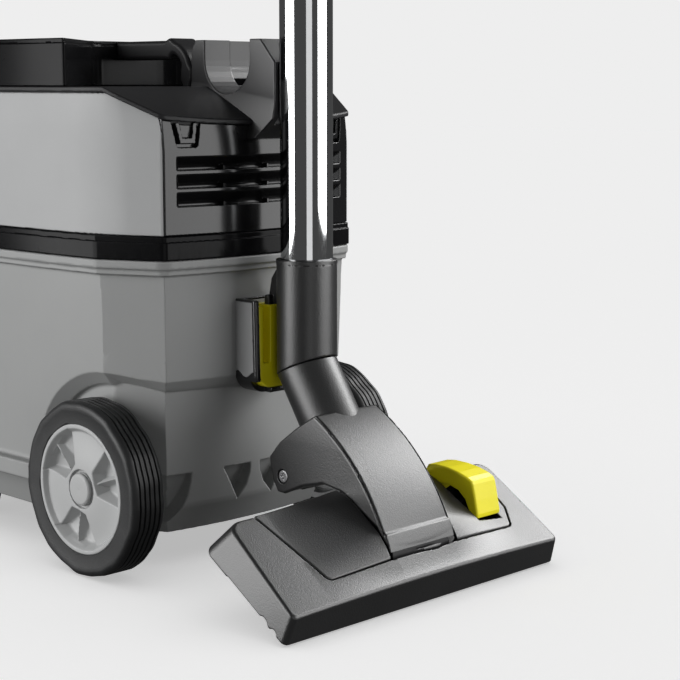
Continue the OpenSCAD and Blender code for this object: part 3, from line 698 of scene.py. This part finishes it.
def hub_shape(p):
    """In the wheel's own frame: p[0], p[1] across the wheel, p[2] outwards."""
    u, v, w = p
    r = np.hypot(u, v)
    disc = rmax(0.8, r - HUB_R, between(w, -12.4, 12.6))
    face = 12.6 - 3.4 * step(-r, -41.5, -38.5) + 2.0 * step(-r, -38, -14)
    body = np.maximum(disc, (w - face) * 0.85)
    for angle in POCKETS:
        a = math.radians(angle)
        along, across = u * math.cos(a) + v * math.sin(a), -u * math.sin(a) + v * math.cos(a)
        outline = polygon(along, np.abs(across), [(15.5, 0), (16, 7.5), (34.5, 21), (38.5, 10), (39, 0)])
        pocket = rmax(1.2, outline + 0.42 * (10 - w), 2.5 - w + 0.16 * (along - 24))
        body = rmax(0.7, body, -pocket)
    ring = np.maximum(np.abs(r - 12.2) - 1.0, 8.6 - w)
    seat = np.maximum(r - 12, 10.4 - w)
    back = rmax(2, np.hypot(u, v) - 39, w + 4, 13 - r)
    bore = r - 4.6
    return np.maximum(np.maximum(rmax(0.4, body, -ring), -seat), np.maximum(-np.minimum(back, bore), disc))


def wheel_frame(side):
    """Turns the wheel's own frame into x, y, z: outwards is +x on the left wheel."""
    def turn(q):
        return np.stack([side * (WHEEL_X + q[:, 2]), side * q[:, 0], q[:, 1] + WHEEL_Z], 1)
    return turn


for name, side in (("left", 1), ("right", -1)):
    centre = (side * WHEEL_X, 0, WHEEL_Z)
    lathed(f"tyre_{name}_rubber", f"{name}_wheel", tyre_profile(), centre, (side, 0, 0), TYRE_BLACK, 180,
           tyre_wobble)
    moulded(f"hub_{name}_moulding", f"{name}_wheel", hub_shape, (-HUB_R, -HUB_R, -13), (HUB_R, HUB_R, 13),
            0.8, HUB_GREY, frame_of=wheel_frame(side))
    cap = rounded_profile([(0.01, 10.5), (10.9, 10.5), (10.9, 12.2), (9.6, 13.2), (0.01, 13.4)], 0.6)
    lathed(f"hub_cap_{name}_moulding", f"{name}_wheel", cap, centre, (side, 0, 0), HUB_GREY, 64)

# ---- Castors ----

CASTOR = place_of("left_castor_swivel")
CASTOR_ROLL = place_of("left_castor_roll")
CASTOR_R = CASTOR_ROLL[2]


def fork_shape(side):
    def shape(p):
        x, y, z = p[0] - side * CASTOR[0], p[1] - CASTOR[1], p[2]
        trail = CASTOR_ROLL[1] - CASTOR[1]
        plate = rmax(1.2, np.hypot(x, y) - 15, between(z, 46, 51.4))
        leg_side = polygon(y, z, [(-9, 46.5), (-6, 38), (trail - 7, CASTOR_R + 5), (trail - 5, CASTOR_R - 5),
                                  (trail + 5, CASTOR_R - 5), (trail + 8, CASTOR_R + 4), (trail + 7, 47)]) - 1
        legs = rmax(0.8, leg_side, between(np.abs(x), 9.1, 12))
        hood_side = polygon(y, z, [(-9, 48), (-7, 42), (trail + 6.5, 42.5), (trail + 6.5, 48)])
        hood = rmax(1.0, hood_side, np.abs(x) - 12)
        stem = rmax(0.6, np.hypot(x, y) - 4.9, between(z, 50, 67))
        return np.minimum(rmin(1.5, plate, np.minimum(legs, hood)), stem)
    return shape


CASTOR_PROFILE = rounded_profile(mirrored([(2.6, -8), (7.6, -8), (8.4, -6.2), (16.4, -5.4), (17.4, -6.6),
                                           (18.8, -6.4), (CASTOR_R, -4.2)]), 0.8)
for name, side in (("left", 1), ("right", -1)):
    x = side * CASTOR[0]
    moulded(f"castor_fork_{name}_moulding", f"{name}_castor", fork_shape(side), (x - 15, CASTOR[1] - 15, 12),
            (x + 15, CASTOR[1] + 24, 68), 0.8, SATIN_BLACK)
    lathed(f"castor_wheel_{name}_rubber", f"{name}_castor_roller", CASTOR_PROFILE,
           (x, CASTOR_ROLL[1], CASTOR_R), (1, 0, 0), SOFT_RUBBER, 96)

# ---- Suction tube ----

TUBE_R = span("lower_tube")[1][0]
SLEEVE_R = span("wand_sleeve")[1][0]
SLEEVE_TOP = span("wand_sleeve")[1][2]
UP, REARWARDS, SIDEWAYS = (0, 0, 1), (0, 1, 0), (1, 0, 0)


def chrome_tube(node, body):
    """A plain tube with a 1 mm wall, as long and as wide as its CAD node."""
    (_, _, low), (radius, _, high) = span(node)
    profile = [(radius - 1, low), (radius, low), (radius, high), (radius - 1, high)]
    lathed(f"{node}_chrome", body, rounded_profile(profile, 0.35, 3), (0, TUBE_Y, 0), UP, CHROME, 160)


chrome_tube("lower_tube", "wand")
chrome_tube("upper_tube", "wand_top")
LOCK = span("lock_sleeve")


def lock_shape(p):
    x, y, z = p[0], p[1] - TUBE_Y, p[2]
    r = np.hypot(x, y)
    low, high = LOCK[0][2], LOCK[1][2]
    swell = 19.4 + 2.6 * step(z, low, low + 16) * step(-z, -high, -high + 16)
    body = rmax(1.0, r - swell, between(z, low, high))
    grip = np.maximum(np.abs((z - low - 50) % 4 - 2) - 0.6, np.maximum(r - 30, 21.2 - r))
    grip = rmax(0.3, grip, between(z, low + 46, high - 10))
    window = rmax(1, np.abs(x) - 8, between(z, low + 7, low + 37), 17 - y)
    return rmax(0.3, np.maximum(body, 17.55 - r), -grip, -window)


moulded("lock_sleeve_moulding", "wand", lock_shape, (-22, TUBE_Y - 22, LOCK[0][2]),
        (22, TUBE_Y + 22, LOCK[1][2]), 0.8, TEXTURED_BLACK)
KNOB = span("lock_button")


def knob_shape(p):
    x, y, z = p[0], p[1] - TUBE_Y, p[2]
    middle = (KNOB[0][2] + KNOB[1][2]) / 2
    crown = y + 0.012 * (z - middle) ** 2
    cap = rmax(1.2, np.abs(x) - 7.5, np.abs(z - middle) - 14.5, crown - 24.6, 19.7 - y)
    return rmax(0.4, cap, -np.maximum(np.abs((z - middle) % 3 - 1.5) - 0.45, 23.4 - crown))


moulded("lock_button_moulding", "tube_button", knob_shape, (-8, TUBE_Y + 17, KNOB[0][2]),
        (8, TUBE_Y + 25, KNOB[1][2]), 0.6, SATIN_BLACK, 0.4)

SWIVEL_AXIS = np.array(JOINTS["neck_swivel"]["axis"])
NECK_TILT = math.radians(33)
NECK_LEN = 41.2


def seam_side(p):
    """Height above the slanted seam between sleeve and neck."""
    return SWIVEL_AXIS[1] * (p[1] - TUBE_Y) + SWIVEL_AXIS[2] * (p[2] - SWIVEL_Z)


def sleeve_shape(p):
    r = np.hypot(p[0], p[1] - TUBE_Y)
    body = rmax(0.8, r - SLEEVE_R + 0.3, p[2] - SLEEVE_TOP + 2.6)
    rim = rmax(0.5, r - SLEEVE_R + 0.05, between(p[2], SLEEVE_TOP - 3.0, SLEEVE_TOP))
    return rmax(0.5, np.maximum(np.minimum(body, rim), TUBE_R + 0.05 - r), 0.2 - seam_side(p))


moulded("wand_sleeve_moulding", "wand", sleeve_shape, (-SLEEVE_R, TUBE_Y - SLEEVE_R, 128),
        (SLEEVE_R, TUBE_Y + SLEEVE_R, SLEEVE_TOP), 0.8, TEXTURED_BLACK)
HOOK = [(59.2, 136), (59.2, 186), (61.5, 197), (66, 203), (73, 206), (76, 206), (76, 136)]


def hook_shape(p):
    x, y, z = np.abs(p[0]), p[1], p[2]
    web = rmax(1.5, polygon(y, z, HOOK), x - 4.5)
    foot = rmax(1.5, between(y, 59.2, 64.1), between(z, 134.6, 186), x - 9)
    return np.maximum(rmin(0.6, web, foot), SLEEVE_R - np.hypot(x, y - TUBE_Y) + 0.02)


moulded("park_hook_moulding", "wand", hook_shape, (-9, 59, 134), (9, 76, 207), 0.6, TEXTURED_BLACK, 0.35)

# ---- Park bracket ----

BRACKET = span("park_bracket")
BRACKET_X, BRACKET_Y1, BRACKET_Z0, BRACKET_Z1 = BRACKET[1][0], BRACKET[1][1], BRACKET[0][2], BRACKET[1][2]


def u_plan(p, half, low, high, radius):
    x = np.abs(p[0])
    side, foot = x - half + 0.02 * (high - p[2]), low - p[2]
    return np.maximum(rmax(radius, side, foot), p[2] - high)


BRACKET_CORNER = [(12, -2), (12, 6), (17.5, 8), (19, 14), (22, 9), (30, 7), (30, -2)]


def bracket_shape(p):
    y = p[1]
    outer = rmax(2.2, u_plan(p, BRACKET_X, BRACKET_Z0, BRACKET_Z1, 13), y - BRACKET_Y1)
    inner = rmax(0.8, u_plan(p, BRACKET_X - 3.2, BRACKET_Z0 + 3.6, BRACKET_Z1 + 20, 10), 54 - y)
    wall = -(plan(p, 0, 0.8, 5) + 4.6)
    corner = np.maximum(polygon(np.abs(p[0]), p[2] - BRACKET_Z0, BRACKET_CORNER), 63 - y)
    return rmax(0.4, np.maximum(outer, -inner), wall - 3.5, -corner)


def insert_block(p):
    x, y, z = np.abs(p[0]), p[1], p[2]
    outer = u_plan(p, BRACKET_X - 3.5, BRACKET_Z0 + 3.9, BRACKET_Z1 - 4, 10)
    outer = rmax(1.2, outer, between(y, 54.2, 70.2))
    channel = rmax(1.5, x - 10, between(y, 57, 66.4), 134 - z)
    throat = rmax(1.5, x - 5.6, 57 - y, 134 - z)
    pocket = rmax(1.5, between(x, 13.2, 19.5), 58 - y, 141 - z)
    sleeve = np.hypot(x, y - TUBE_Y) - SLEEVE_R - 1.2
    return rmax(0.6, outer, -channel, -throat, -pocket, -sleeve)


def rim_region(p):
    """The dark rim of the bracket: its front edge, its foot and its top edge."""
    front, top = 66.6 - p[1], BRACKET_Z1 - 1.6 - p[2]
    foot = p[2] - BRACKET_Z0 - 13 - 2 * np.sin(p[1] * 0.4)
    return np.minimum(np.minimum(front, foot), top)


moulded("park_bracket_moulding", "machine", lambda p: np.maximum(bracket_shape(p), rim_region(p)),
        (-27, 47, 119), (27, 71, 185), 0.6, BRACKET_BLACK, 0.35)
# Painted light: the bracket's grey sides take the lighter panel grey instead of the container grey, to stand
# in for light that the container shades off them.
moulded("park_bracket_sides", "machine", lambda p: np.maximum(bracket_shape(p), 0.05 - rim_region(p)),
        (-27, 47, 119), (27, 71, 185), 0.6, PANEL_GREY, 0.35, nodes=())
moulded("park_insert_moulding", "machine", insert_block, (-24, 54, 122), (24, 71, 181), 0.55, YELLOW, 0.35)

# ---- Neck and yoke ----


def neck_frame(p):
    """Distance across and along the tilted neck from the swivel."""
    y, z = p[1] - TUBE_Y, p[2] - SWIVEL_Z
    c, s = math.cos(NECK_TILT), math.sin(NECK_TILT)
    return y * c + z * s, -y * s + z * c


def neck_shape(p):
    across, along = neck_frame(p)
    r = np.hypot(p[0], across)
    pipe = rmax(0.5, r - SLEEVE_R, between(along, -NECK_LEN - 13.5, 18), seam_side(p) + 0.25)
    return np.maximum(pipe, 17.5 - r)


moulded("neck_moulding", "yoke_carriage", neck_shape, (-SLEEVE_R, TUBE_Y - 22, SWIVEL_Z - 62),
        (SLEEVE_R, TUBE_Y + 48, SWIVEL_Z + 10), 0.8, TEXTURED_BLACK)

YOKE_X = span("yoke")[1][0]
TOP_Y, TOP_Z, TOP_R = 60, -14, 146
BARREL_R = 27.0
ROLLER_SPAN = (13.6, 27.6)
YOKE_SIDE = ([(86.8, 82.0), (87.3, 76), (90, 66), (94.5, 58.8), (101, 58.4), (118, 66), (137, 71),
              (155, 68.5), (171.5, 59.5), (186, 51.5), (196.9, 38.6)]
             + arc(TOP_Y, TOP_Z, TOP_R, 22.5, 62, 12) + [(112, 104.5), (96, 92.5)])


def yoke_half_width(p):
    """The yoke widens a little towards its tip and its sides are softly bulged."""
    return YOKE_X - 0.4 + 0.9 * step(p[1], 150, 195) - 0.012 * np.clip(p[2] - 95, 0, 30) ** 1.5


def yoke_shape(p):
    x, y, z = np.abs(p[0]), p[1], p[2]
    side = polygon(y, z, YOKE_SIDE)
    half = yoke_half_width(p)
    body = rmax(2.0, side, x - half)
    radial = np.hypot(y - TOP_Y, z - TOP_Z) - TOP_R
    shell_seat = np.maximum(x - half + 0.9, -radial - 2.6)
    body = np.maximum(body, -shell_seat)
    arm = polygon(y, z, arc(PIVOT[1], PIVOT[2], 4.5, 190, 372, 10)
                  + arc(PIVOT[1] - 6, PIVOT[2] + 30, 9, 10, 192, 10))
    arms = rmax(0.4, arm, between(x, YOKE_X - 3.1, YOKE_X - 0.1))
    barrel = np.maximum(np.hypot(y - PIVOT[1], z - PIVOT[2]) - BARREL_R - 0.6, x - YOKE_X + 3.15)
    inside = rmax(2, side + 3.4, x - YOKE_X + 3.4, radial + 6)
    body = np.maximum(np.minimum(np.maximum(body, -inside), arms), -barrel)
    across, along = neck_frame(p)
    bore = np.maximum(np.hypot(x, across) - SLEEVE_R - 0.15, -along - NECK_LEN - 14)
    from_roller = np.hypot(y - ROLLER[1], z - ROLLER[2])
    screw = np.maximum(from_roller - 4.7, YOKE_X - 3.6 - x)
    beside = between(x, *ROLLER_SPAN)
    rollers = np.maximum(from_roller - 10.2, beside)
    under = rmax(1, beside, z - ROLLER[2] - 6, y - ROLLER[1] - 8, -z + 40)
    hubs = np.maximum(from_roller - 5.2, x - ROLLER_SPAN[1])
    cuts = np.minimum(np.minimum(bore, screw), np.minimum(np.minimum(rollers, hubs), under))
    return rmax(0.3, body, -cuts)


moulded("yoke_moulding", "yoke_carriage", yoke_shape, (-32, 84, 20), (32, 199, 117), 0.7, TEXTURED_BLACK)


def yoke_cover_shape(p):
    x, y, z = np.abs(p[0]), p[1], p[2]
    radial = np.hypot(y - TOP_Y, z - TOP_Z) - TOP_R
    angle = np.degrees(np.arctan2(z - TOP_Z, y - TOP_Y))
    bow = 0.0011 * x * x
    low = (21.6 + bow - angle) * math.radians(1) * TOP_R
    rim = (y - 128.6) * 0.63 * -1 + (z - 115.2) * 0.777
    crown = radial - 0.25 + 0.0006 * x * x
    plate = rmax(1.6, crown, x - yoke_half_width(p) + 1.3, low, rim)
    barrel = BARREL_R + 0.65 - np.hypot(y - PIVOT[1], z - PIVOT[2])
    plate = rmax(0.3, plate, -radial - 2.4, barrel)
    v, w = y - PIVOT[1], z - PIVOT[2]
    nose = rmax(0.6, between(np.hypot(v, w), BARREL_R + 0.65, BARREL_R + 2.0), x - yoke_half_width(p) + 1.3,
                (math.radians(9.6) - np.arctan2(w, v)) * 28 + bow, (np.arctan2(w, v) - 0.6) * 28)
    return rmin(3.0, plate, nose)


moulded("yoke_cover_moulding", "yoke_carriage", yoke_cover_shape, (-32, 120, 38), (32, 200, 117), 0.65,
        TEXTURED_BLACK)


def screws_shape(p):
    x = np.abs(p[0])
    v, w = p[1] - ROLLER[1], p[2] - ROLLER[2]
    r, angle = np.hypot(v, w), np.arctan2(w, v)
    head = rmax(0.6, r - 4.2, between(x, YOKE_X - 2.8, YOKE_X - 0.9))
    star = np.maximum(r - 1.9 - 0.45 * np.cos(6 * angle), YOKE_X - 2.2 - x)
    return rmax(0.2, head, -star)


moulded("yoke_screws_steel", "yoke_carriage", screws_shape, (-31, 94, 64), (31, 105, 76), 0.35, STEEL, 0.5)

# ---- Nozzle head: x, b forward of the head's lower rear edge, n up from its sole ----

HEAD_COS, HEAD_SIN = math.cos(HEAD_TILT), math.sin(HEAD_TILT)
HEAD_HALF, HEAD_DEEP = span("nozzle_cover")[1][0], 86
SLOT_R = 30.2


def head_frame(q):
    b, n = q[:, 1], q[:, 2]
    return np.stack([q[:, 0], HEAD_BACK + b * HEAD_COS + n * HEAD_SIN, -b * HEAD_SIN + n * HEAD_COS], 1)


def cover_height(x, a):
    return 19.2 + 2.4 * (1 - (x / 124) ** 2) + 0.045 * a


def rise(x, a):
    """How much the top swells towards the yoke."""
    return 11.6 * (1 - np.clip((np.abs(x) - 27) / 64, 0, 1)) ** 1.3 * step(a, 4, 41)


def head_outline(x, a, n, inset=0.0):
    front = -(a - 0.26 * n) * 0.968
    rear = (a - HEAD_DEEP + 0.17 * n) * 0.986
    end = (np.abs(x) - HEAD_HALF + n * (0.12 + 0.0027 * a)) / 1.03
    return rmax(9.0, rmax(4.0, front, end), rear) + inset


SEAM = [(79, 27), (86.5, 56), (98.5, 97), (-99.5, 97), (-97.5, 42), (-90.5, 29.5), (-10, 25.2)]


def seam_plan(x, a):
    return polygon(x, a, SEAM) - 5


def cover_shape(p):
    x, a, n = p[0], -p[1], p[2]
    top = n - cover_height(x, a) - np.where(a < 40, rise(x, a), 0)
    outer = rmax(1.6, rmax(1.8, head_outline(x, a, n), top), 0.5 - n)
    inner = np.maximum(np.maximum(head_outline(x, a, n, 2.8), top + 2.8), -n - 5)
    body = np.maximum(outer, -inner)
    body = rmax(0.5, body, -np.maximum(seam_plan(x, a) - 0.4, 12 - n))
    wave = np.minimum(np.hypot(a - 22, n + 2.5) - 5.6, np.hypot(a - 12, n + 0.5) - 3.4)
    wave = np.minimum(wave, rmax(1, between(a, 22, 60), n - 1.6))
    body = rmax(0.8, body, -np.maximum(wave, 115 - np.abs(x)))
    slot = np.maximum(np.hypot(a - PIVOT_A, n - PIVOT_N) - SLOT_R, np.abs(x) - 31.6)
    return np.maximum(body, -slot)


moulded("nozzle_cover_moulding", "nozzle_head", cover_shape, (-HEAD_HALF, -HEAD_DEEP, 0), (HEAD_HALF, 0, 27),
        0.8, TEXTURED_BLACK, 0.25, head_frame)


def hump_height(x, a):
    return cover_height(x, a) + rise(x, a) * (1 - 0.9 * step(a, 66, 98))


PEDAL_X, PEDAL_SKEW, PEDAL_HALF = JOINTS["pedal_press"]["pos_m"][0] / MM, 11, 12
PEDAL_FRONT, PEDAL_REAR = 34, 84


def pedal_plan(x, a, grow):
    """Plan of the pedal, which is skewed outwards towards the front."""
    middle = PEDAL_X - PEDAL_SKEW * np.clip((PEDAL_REAR - a) / 50, 0, 1.2)
    half = PEDAL_HALF - 1.6 * step(a, 50, PEDAL_REAR)
    return np.maximum(np.abs(x - middle) - half, np.maximum(a - PEDAL_REAR, PEDAL_FRONT - a)) - grow


def insert_shape(p):
    x, a, n = p[0], -p[1], p[2]
    surface = (n - hump_height(x, a)) * 0.95
    plan_edge = rmax(2.0, seam_plan(x, a) + 0.4, a - HEAD_DEEP + 1.2 + 0.10 * n)
    skin = rmax(1.0, surface, plan_edge)
    body = np.maximum(skin, -np.maximum(np.maximum(surface + 2.8, plan_edge + 2.8), 5 - n))
    body = np.maximum(body, 14.5 - n)
    slot = np.minimum(np.maximum(np.hypot(a - PIVOT_A, n - PIVOT_N) - SLOT_R, np.abs(x) - 31.7),
                      rmax(1, np.abs(x) - 31.7, 42 - a))
    well = pedal_plan(x, a, 1.0)
    return rmax(0.5, body, -slot, -well)


moulded("nozzle_insert_moulding", "nozzle_head", insert_shape, (-106, -HEAD_DEEP, 14), (106, -14, 37), 0.75,
        TEXTURED_BLACK, 0.25, head_frame)

PEDAL_SIDE = [(83, 20), (83.5, 33), (78, 37.2), (70, 41.2), (62, 43.8), (55, 45.0), (51, 44.9),
              (48.8, 43.4), (42, 35.0), (36, 27.2), (34.8, 24.6), (38, 23.0), (43, 25.2), (49, 30.2),
              (56, 32.4), (64, 30.8), (70, 27), (74, 14), (78, 14)]


def pedal_shape(p):
    x, a, n = p[0], -p[1], p[2]
    body = rmax(1.5, polygon(a, n, PEDAL_SIDE) * 0.98, pedal_plan(x, a, 0))
    return np.maximum(body, 2.1 - np.hypot(a - 76, n - 17))


moulded("pedal_moulding", "foot_pedal", pedal_shape, (-94, -86, 12), (-52, -33, 47), 0.55, YELLOW,
        frame_of=head_frame)

# ---- Sole, brushes and rollers ----

BRUSHES = (9.5, 69.5)
BRUSH_HALF = 118


def base_shape(p):
    x, a, n = p[0], -p[1], p[2]
    plate = rmax(0.6, head_outline(x, a, n, 3.4), between(n, 3.1, 6.2))
    barrel = rmax(0.5, np.hypot(a - PIVOT_A, n - PIVOT_N) - BARREL_R, np.abs(x) - YOKE_X + 4.2, 3.2 - n)
    ribs = rmax(0.4, np.abs((x + 120) % 20 - 10) - 0.9, np.abs(x) - 112, between(a, 14, 64), between(n, 5, 9))
    body = np.minimum(np.minimum(plate, barrel), np.maximum(ribs, 30 - np.hypot(a - PIVOT_A, n - PIVOT_N)))
    lugs = rmax(0.4, np.abs(np.abs(x - PEDAL_X + 1) - 17) - 1.5, between(a, 73, 79.6), between(n, 5, 19.5))
    body = np.minimum(body, lugs)
    for place in BRUSHES:
        groove = np.maximum(np.abs(a - place) - 3.3, np.abs(x) - BRUSH_HALF)
        body = rmax(0.3, body, -np.maximum(groove, n - 14))
    mouth = rmax(1, np.abs(x) - 24, between(a, 34, 56), n - 8)
    inside = rmax(1, np.hypot(a - PIVOT_A, n - PIVOT_N) - 22, np.abs(x) - 23)
    return rmax(0.4, body, -mouth, -inside)


def sole_shape(p):
    x, a, n = p[0], -p[1], p[2]
    plate = rmax(0.5, head_outline(x, a, n, 4.4), between(n, 1.5, 3))
    mouth = rmax(3, np.abs(x) - 110, between(a, 38, 50))
    body = rmax(0.3, plate, -mouth)
    for place in BRUSHES:
        body = rmax(0.3, body, -np.maximum(np.abs(a - place) - 4, np.abs(x) - BRUSH_HALF))
    return body


moulded("nozzle_base_moulding", "nozzle_head", base_shape, (-124, -86, 3), (124, -4, 36), 1.0, SATIN_BLACK,
        0.3, head_frame, slot="nozzle_black")
moulded("sole_plate_steel", "nozzle_head", sole_shape, (-124, -86, 1), (124, -4, 4), 0.9, STEEL, 0.2,
        head_frame)


def tufts(name, body, rows, surface, nodes):
    """Bristles: thin tapered blades set in rows of small tufts, a little uneven."""
    dice = np.random.default_rng(7)
    points, faces = [], []
    for a in rows:
        for x in np.arange(-115.2, 115.3, 1.15):
            for _ in range(5):
                root = np.array([x + dice.normal(0, 0.3), -a + dice.normal(0, 0.75), 6.0])
                tip = np.array([root[0] + dice.normal(0, 0.35), root[1] + dice.normal(0, 0.4),
                                dice.uniform(-1.1, -0.2)])
                tip[:2] = np.clip(tip[:2], (-115.8, -a - 1.6), (115.8, -a + 1.6))
                turn, first = dice.uniform(0, math.pi), len(points)
                for place, half in ((root, 0.16), (tip, 0.09)):
                    for k in range(3):
                        angle = turn + k * 2 * math.pi / 3
                        points.append(place + np.array([math.cos(angle), math.sin(angle), 0]) * half)
                faces += [(first + k, first + (k + 1) % 3, first + 3 + (k + 1) % 3, first + 3 + k)
                          for k in range(3)]
                faces += [(first + 2, first + 1, first), (first + 3, first + 4, first + 5)]
    ob = new_mesh(name, to_metres(head_frame(np.array(points))), faces)
    return finish_piece(ob, body, surface, nodes)


tufts("brush_bristles", "brush", BRUSHES, BRISTLE, ["brush_strips"])
ROLLER_R = (span("rear_rollers")[1][2] - span("rear_rollers")[0][2]) / 2
ROLLER_PROFILE = rounded_profile(mirrored([
    (2.4, -26.6), (4.6, -26.6), (ROLLER_R - 0.4, -26.5), (ROLLER_R, -25.8), (ROLLER_R, -15.4),
    (ROLLER_R - 0.4, -14.7), (4.6, -14.6)]), 0.3, 2)
lathed("rear_rollers_rubber", "rollers", ROLLER_PROFILE, ROLLER, SIDEWAYS, SOFT_RUBBER, 72)

# ---- Switch, latch, inlet and cord inlet ----

RING_TOP = span("power_button")[1][2]
lathed("power_button_moulding", "switch_button",
       rounded_profile([(23, DECK_Z - 3), (29, DECK_Z - 3), (29, DECK_Z), (26, DECK_Z), (26, RING_TOP),
                        (21.4, RING_TOP), (20.6, RING_TOP - 0.9), (0.01, RING_TOP - 1.3),
                        (0.01, RING_TOP - 2.9), (20.4, RING_TOP - 2.9), (23, RING_TOP - 5)], 0.8),
       (0, BUTTON_Y, 0), UP, PANEL_GREY, 144)
LATCH = span("front_latch")
LATCH_X, LATCH_Z0, LATCH_Z1 = LATCH[1][0], LATCH[0][2], LATCH[1][2]
FRONT_Y = BODY_Y - HALF_L


def latch_shape(p):
    x, y, z = np.abs(p[0]), p[1] - FRONT_Y, p[2]
    side = polygon(y, z, [(-6, LATCH_Z0 + 5), (-4.5, LATCH_Z0 + 1), (-2, LATCH_Z0 + 4), (-2, LATCH_Z1 - 3),
                          (1.2, LATCH_Z1 - 3), (1.2, LATCH_Z1), (-4.6, LATCH_Z1), (-6, LATCH_Z1 - 3)])
    width = LATCH_X - 4 * step(z, LATCH_Z1 - 8, LATCH_Z1 - 2) - 0.3
    body = rmax(0.6, side, x - width)
    body = rmin(0.2, body, rmax(0.5, np.hypot(y + 4.5, z - LATCH_Z0 - 4) - 3.9, x - LATCH_X))
    grip = rmax(0.6, between(y, -8.9, -5.2), between(z, 206.4, 209.6), x - 12)
    hollow = rmax(0.8, x - 14, between(z, 213, LATCH_Z1 - 6), y + 5.2)
    body = rmax(0.4, np.minimum(body, grip), -hollow)
    return np.maximum(body, -np.minimum(np.hypot(y + 4.5, z - LATCH_Z0 - 4) - 1.8,
                                        rmax(0.5, x - 8, LATCH_Z0 - 1 - z, z - LATCH_Z0 - 9)))


moulded("front_latch_moulding", "latch", latch_shape, (-LATCH_X, FRONT_Y - 9, LATCH_Z0),
        (LATCH_X, FRONT_Y + 2, LATCH_Z1), 0.6, SATIN_BLACK, 0.35)
SOCKET_Y = span("inlet_socket")[0][1]
lathed("inlet_socket_moulding", "machine",
       rounded_profile([(19, 0), (24, 0), (24, 5), (29.5, 5), (31, 5.6), (32, 6.6), (32, 8.8), (24, 8.8),
                        (24, 30), (19, 30), (19, 21), (19.6, 20), (19.6, 17), (19, 16)], 0.5, 3),
       (0, SOCKET_Y, SOCKET_Z), REARWARDS, SATIN_BLACK, 128)
GLAND_LOW, GLAND_HIGH = span("cable_gland")
lathed("cable_gland_rubber", "machine",
       rounded_profile([(3.6, 0), (9.5, 0), (9.5, 4), (7, 4), (7, 11.6), (9.3, 11.6), (8.6, 13.6),
                        (6.6, 14), (3.6, 14)], 0.5, 3),
       (GLAND_LOW[0] / 2 + GLAND_HIGH[0] / 2, GLAND_LOW[1], GLAND_LOW[2] / 2 + GLAND_HIGH[2] / 2), REARWARDS,
       SOFT_RUBBER, 72)

# ---- Studio and camera ----

CAMERA_PLACE = Vector((0.7884, 0.9415, 0.3282))
CAMERA_LOOK = Vector((-0.7028, -0.6955, -0.1494))
PAPER_WHITE = 0.855
AMBIENT = 0.07
FLOOR_GLOW, FLOOR_WHITE = 0.45, 0.9

bpy.context.scene.view_settings.view_transform = "Standard"


def put(ob):
    bpy.context.scene.collection.objects.link(ob)
    return ob


floor_mesh = bpy.data.meshes.new("floor")
floor_mesh.from_pydata([(-9, -9, 0), (9, -9, 0), (9, 9, 0), (-9, 9, 0)], [], [(0, 1, 2, 3)])
floor = put(bpy.data.objects.new("floor", floor_mesh))
floor.visible_glossy = False
floor.visible_diffuse = False
floor.visible_shadow = False
floor_paint = bpy.data.materials.new("floor")
floor_paint.use_nodes = True
fill(floor_paint.node_tree.nodes["Principled BSDF"], Base_Color=(FLOOR_WHITE, FLOOR_WHITE, FLOOR_WHITE, 1),
     Specular_IOR_Level=0, Roughness=1, Emission_Color=(1, 1, 1, 1), Emission_Strength=FLOOR_GLOW)
floor_mesh.materials.append(floor_paint)
all_but_floor = bpy.data.collections.new("lit_by_boards")
all_but_floor.objects.link(floor)
all_but_floor.collection_objects[0].light_linking.link_state = "EXCLUDE"
floor_only = bpy.data.collections.new("lit_by_ceiling")
floor_only.objects.link(floor)
ceiling = bpy.data.lights.new("ceiling_light", "SUN")
ceiling.angle = math.radians(110)
ceiling.energy = (PAPER_WHITE - FLOOR_GLOW - FLOOR_WHITE * AMBIENT) * math.pi / FLOOR_WHITE
ceiling_ob = put(bpy.data.objects.new("ceiling_light", ceiling))
ceiling_ob.location = (0, 0, 3)
ceiling_ob.light_linking.receiver_collection = floor_only


def board(name, azimuth, distance, low, high, width, glow, aim_z=0.2):
    """An upright soft light of even brightness, turned towards the object."""
    turn = math.radians(azimuth)
    place = Vector((math.cos(turn) * distance, math.sin(turn) * distance, (low + high) / 2))
    aim = Vector((0, 0, aim_z))
    light = bpy.data.lights.new(name, "AREA")
    light.shape = "RECTANGLE"
    light.size, light.size_y = width, high - low
    light.energy = glow * math.pi * width * (high - low)
    ob = put(bpy.data.objects.new(name, light))
    ob.location = place
    ob.rotation_euler = (aim - place).to_track_quat("-Z", "Y").to_euler()
    ob.visible_camera = False
    ob.light_linking.receiver_collection = all_but_floor
    return ob


board("left_light", -28, 2.2, -0.3, 1.7, 1.9, 5.2, 0.6)
board("right_light", 119, 2.2, -0.2, 1.5, 1.8, 3.8, 0.6)
board("back_light", 164, 2.2, 0.95, 2.1, 1.4, 11.0)
board("front_light", 60, 2.6, -0.6, 1.6, 1.1, 0.8, 0.5)

world = bpy.data.worlds.new("studio")
bpy.context.scene.world = world
world.use_nodes = True
air = world.node_tree.nodes
seen = mix(air, Factor=air.new("ShaderNodeLightPath").outputs["Is Camera Ray"],
           A=(AMBIENT, AMBIENT, AMBIENT, 1), B=(PAPER_WHITE, PAPER_WHITE, PAPER_WHITE, 1))
fill(air["Background"], Color=seen)

lens = bpy.data.cameras.new("camera")
lens.lens, lens.sensor_width = 90.5, 36
camera = put(bpy.data.objects.new("camera", lens))
camera.location = CAMERA_PLACE
camera.rotation_mode = "QUATERNION"
camera.rotation_quaternion = CAMERA_LOOK.to_track_quat("-Z", "Y")
bpy.context.scene.camera = camera
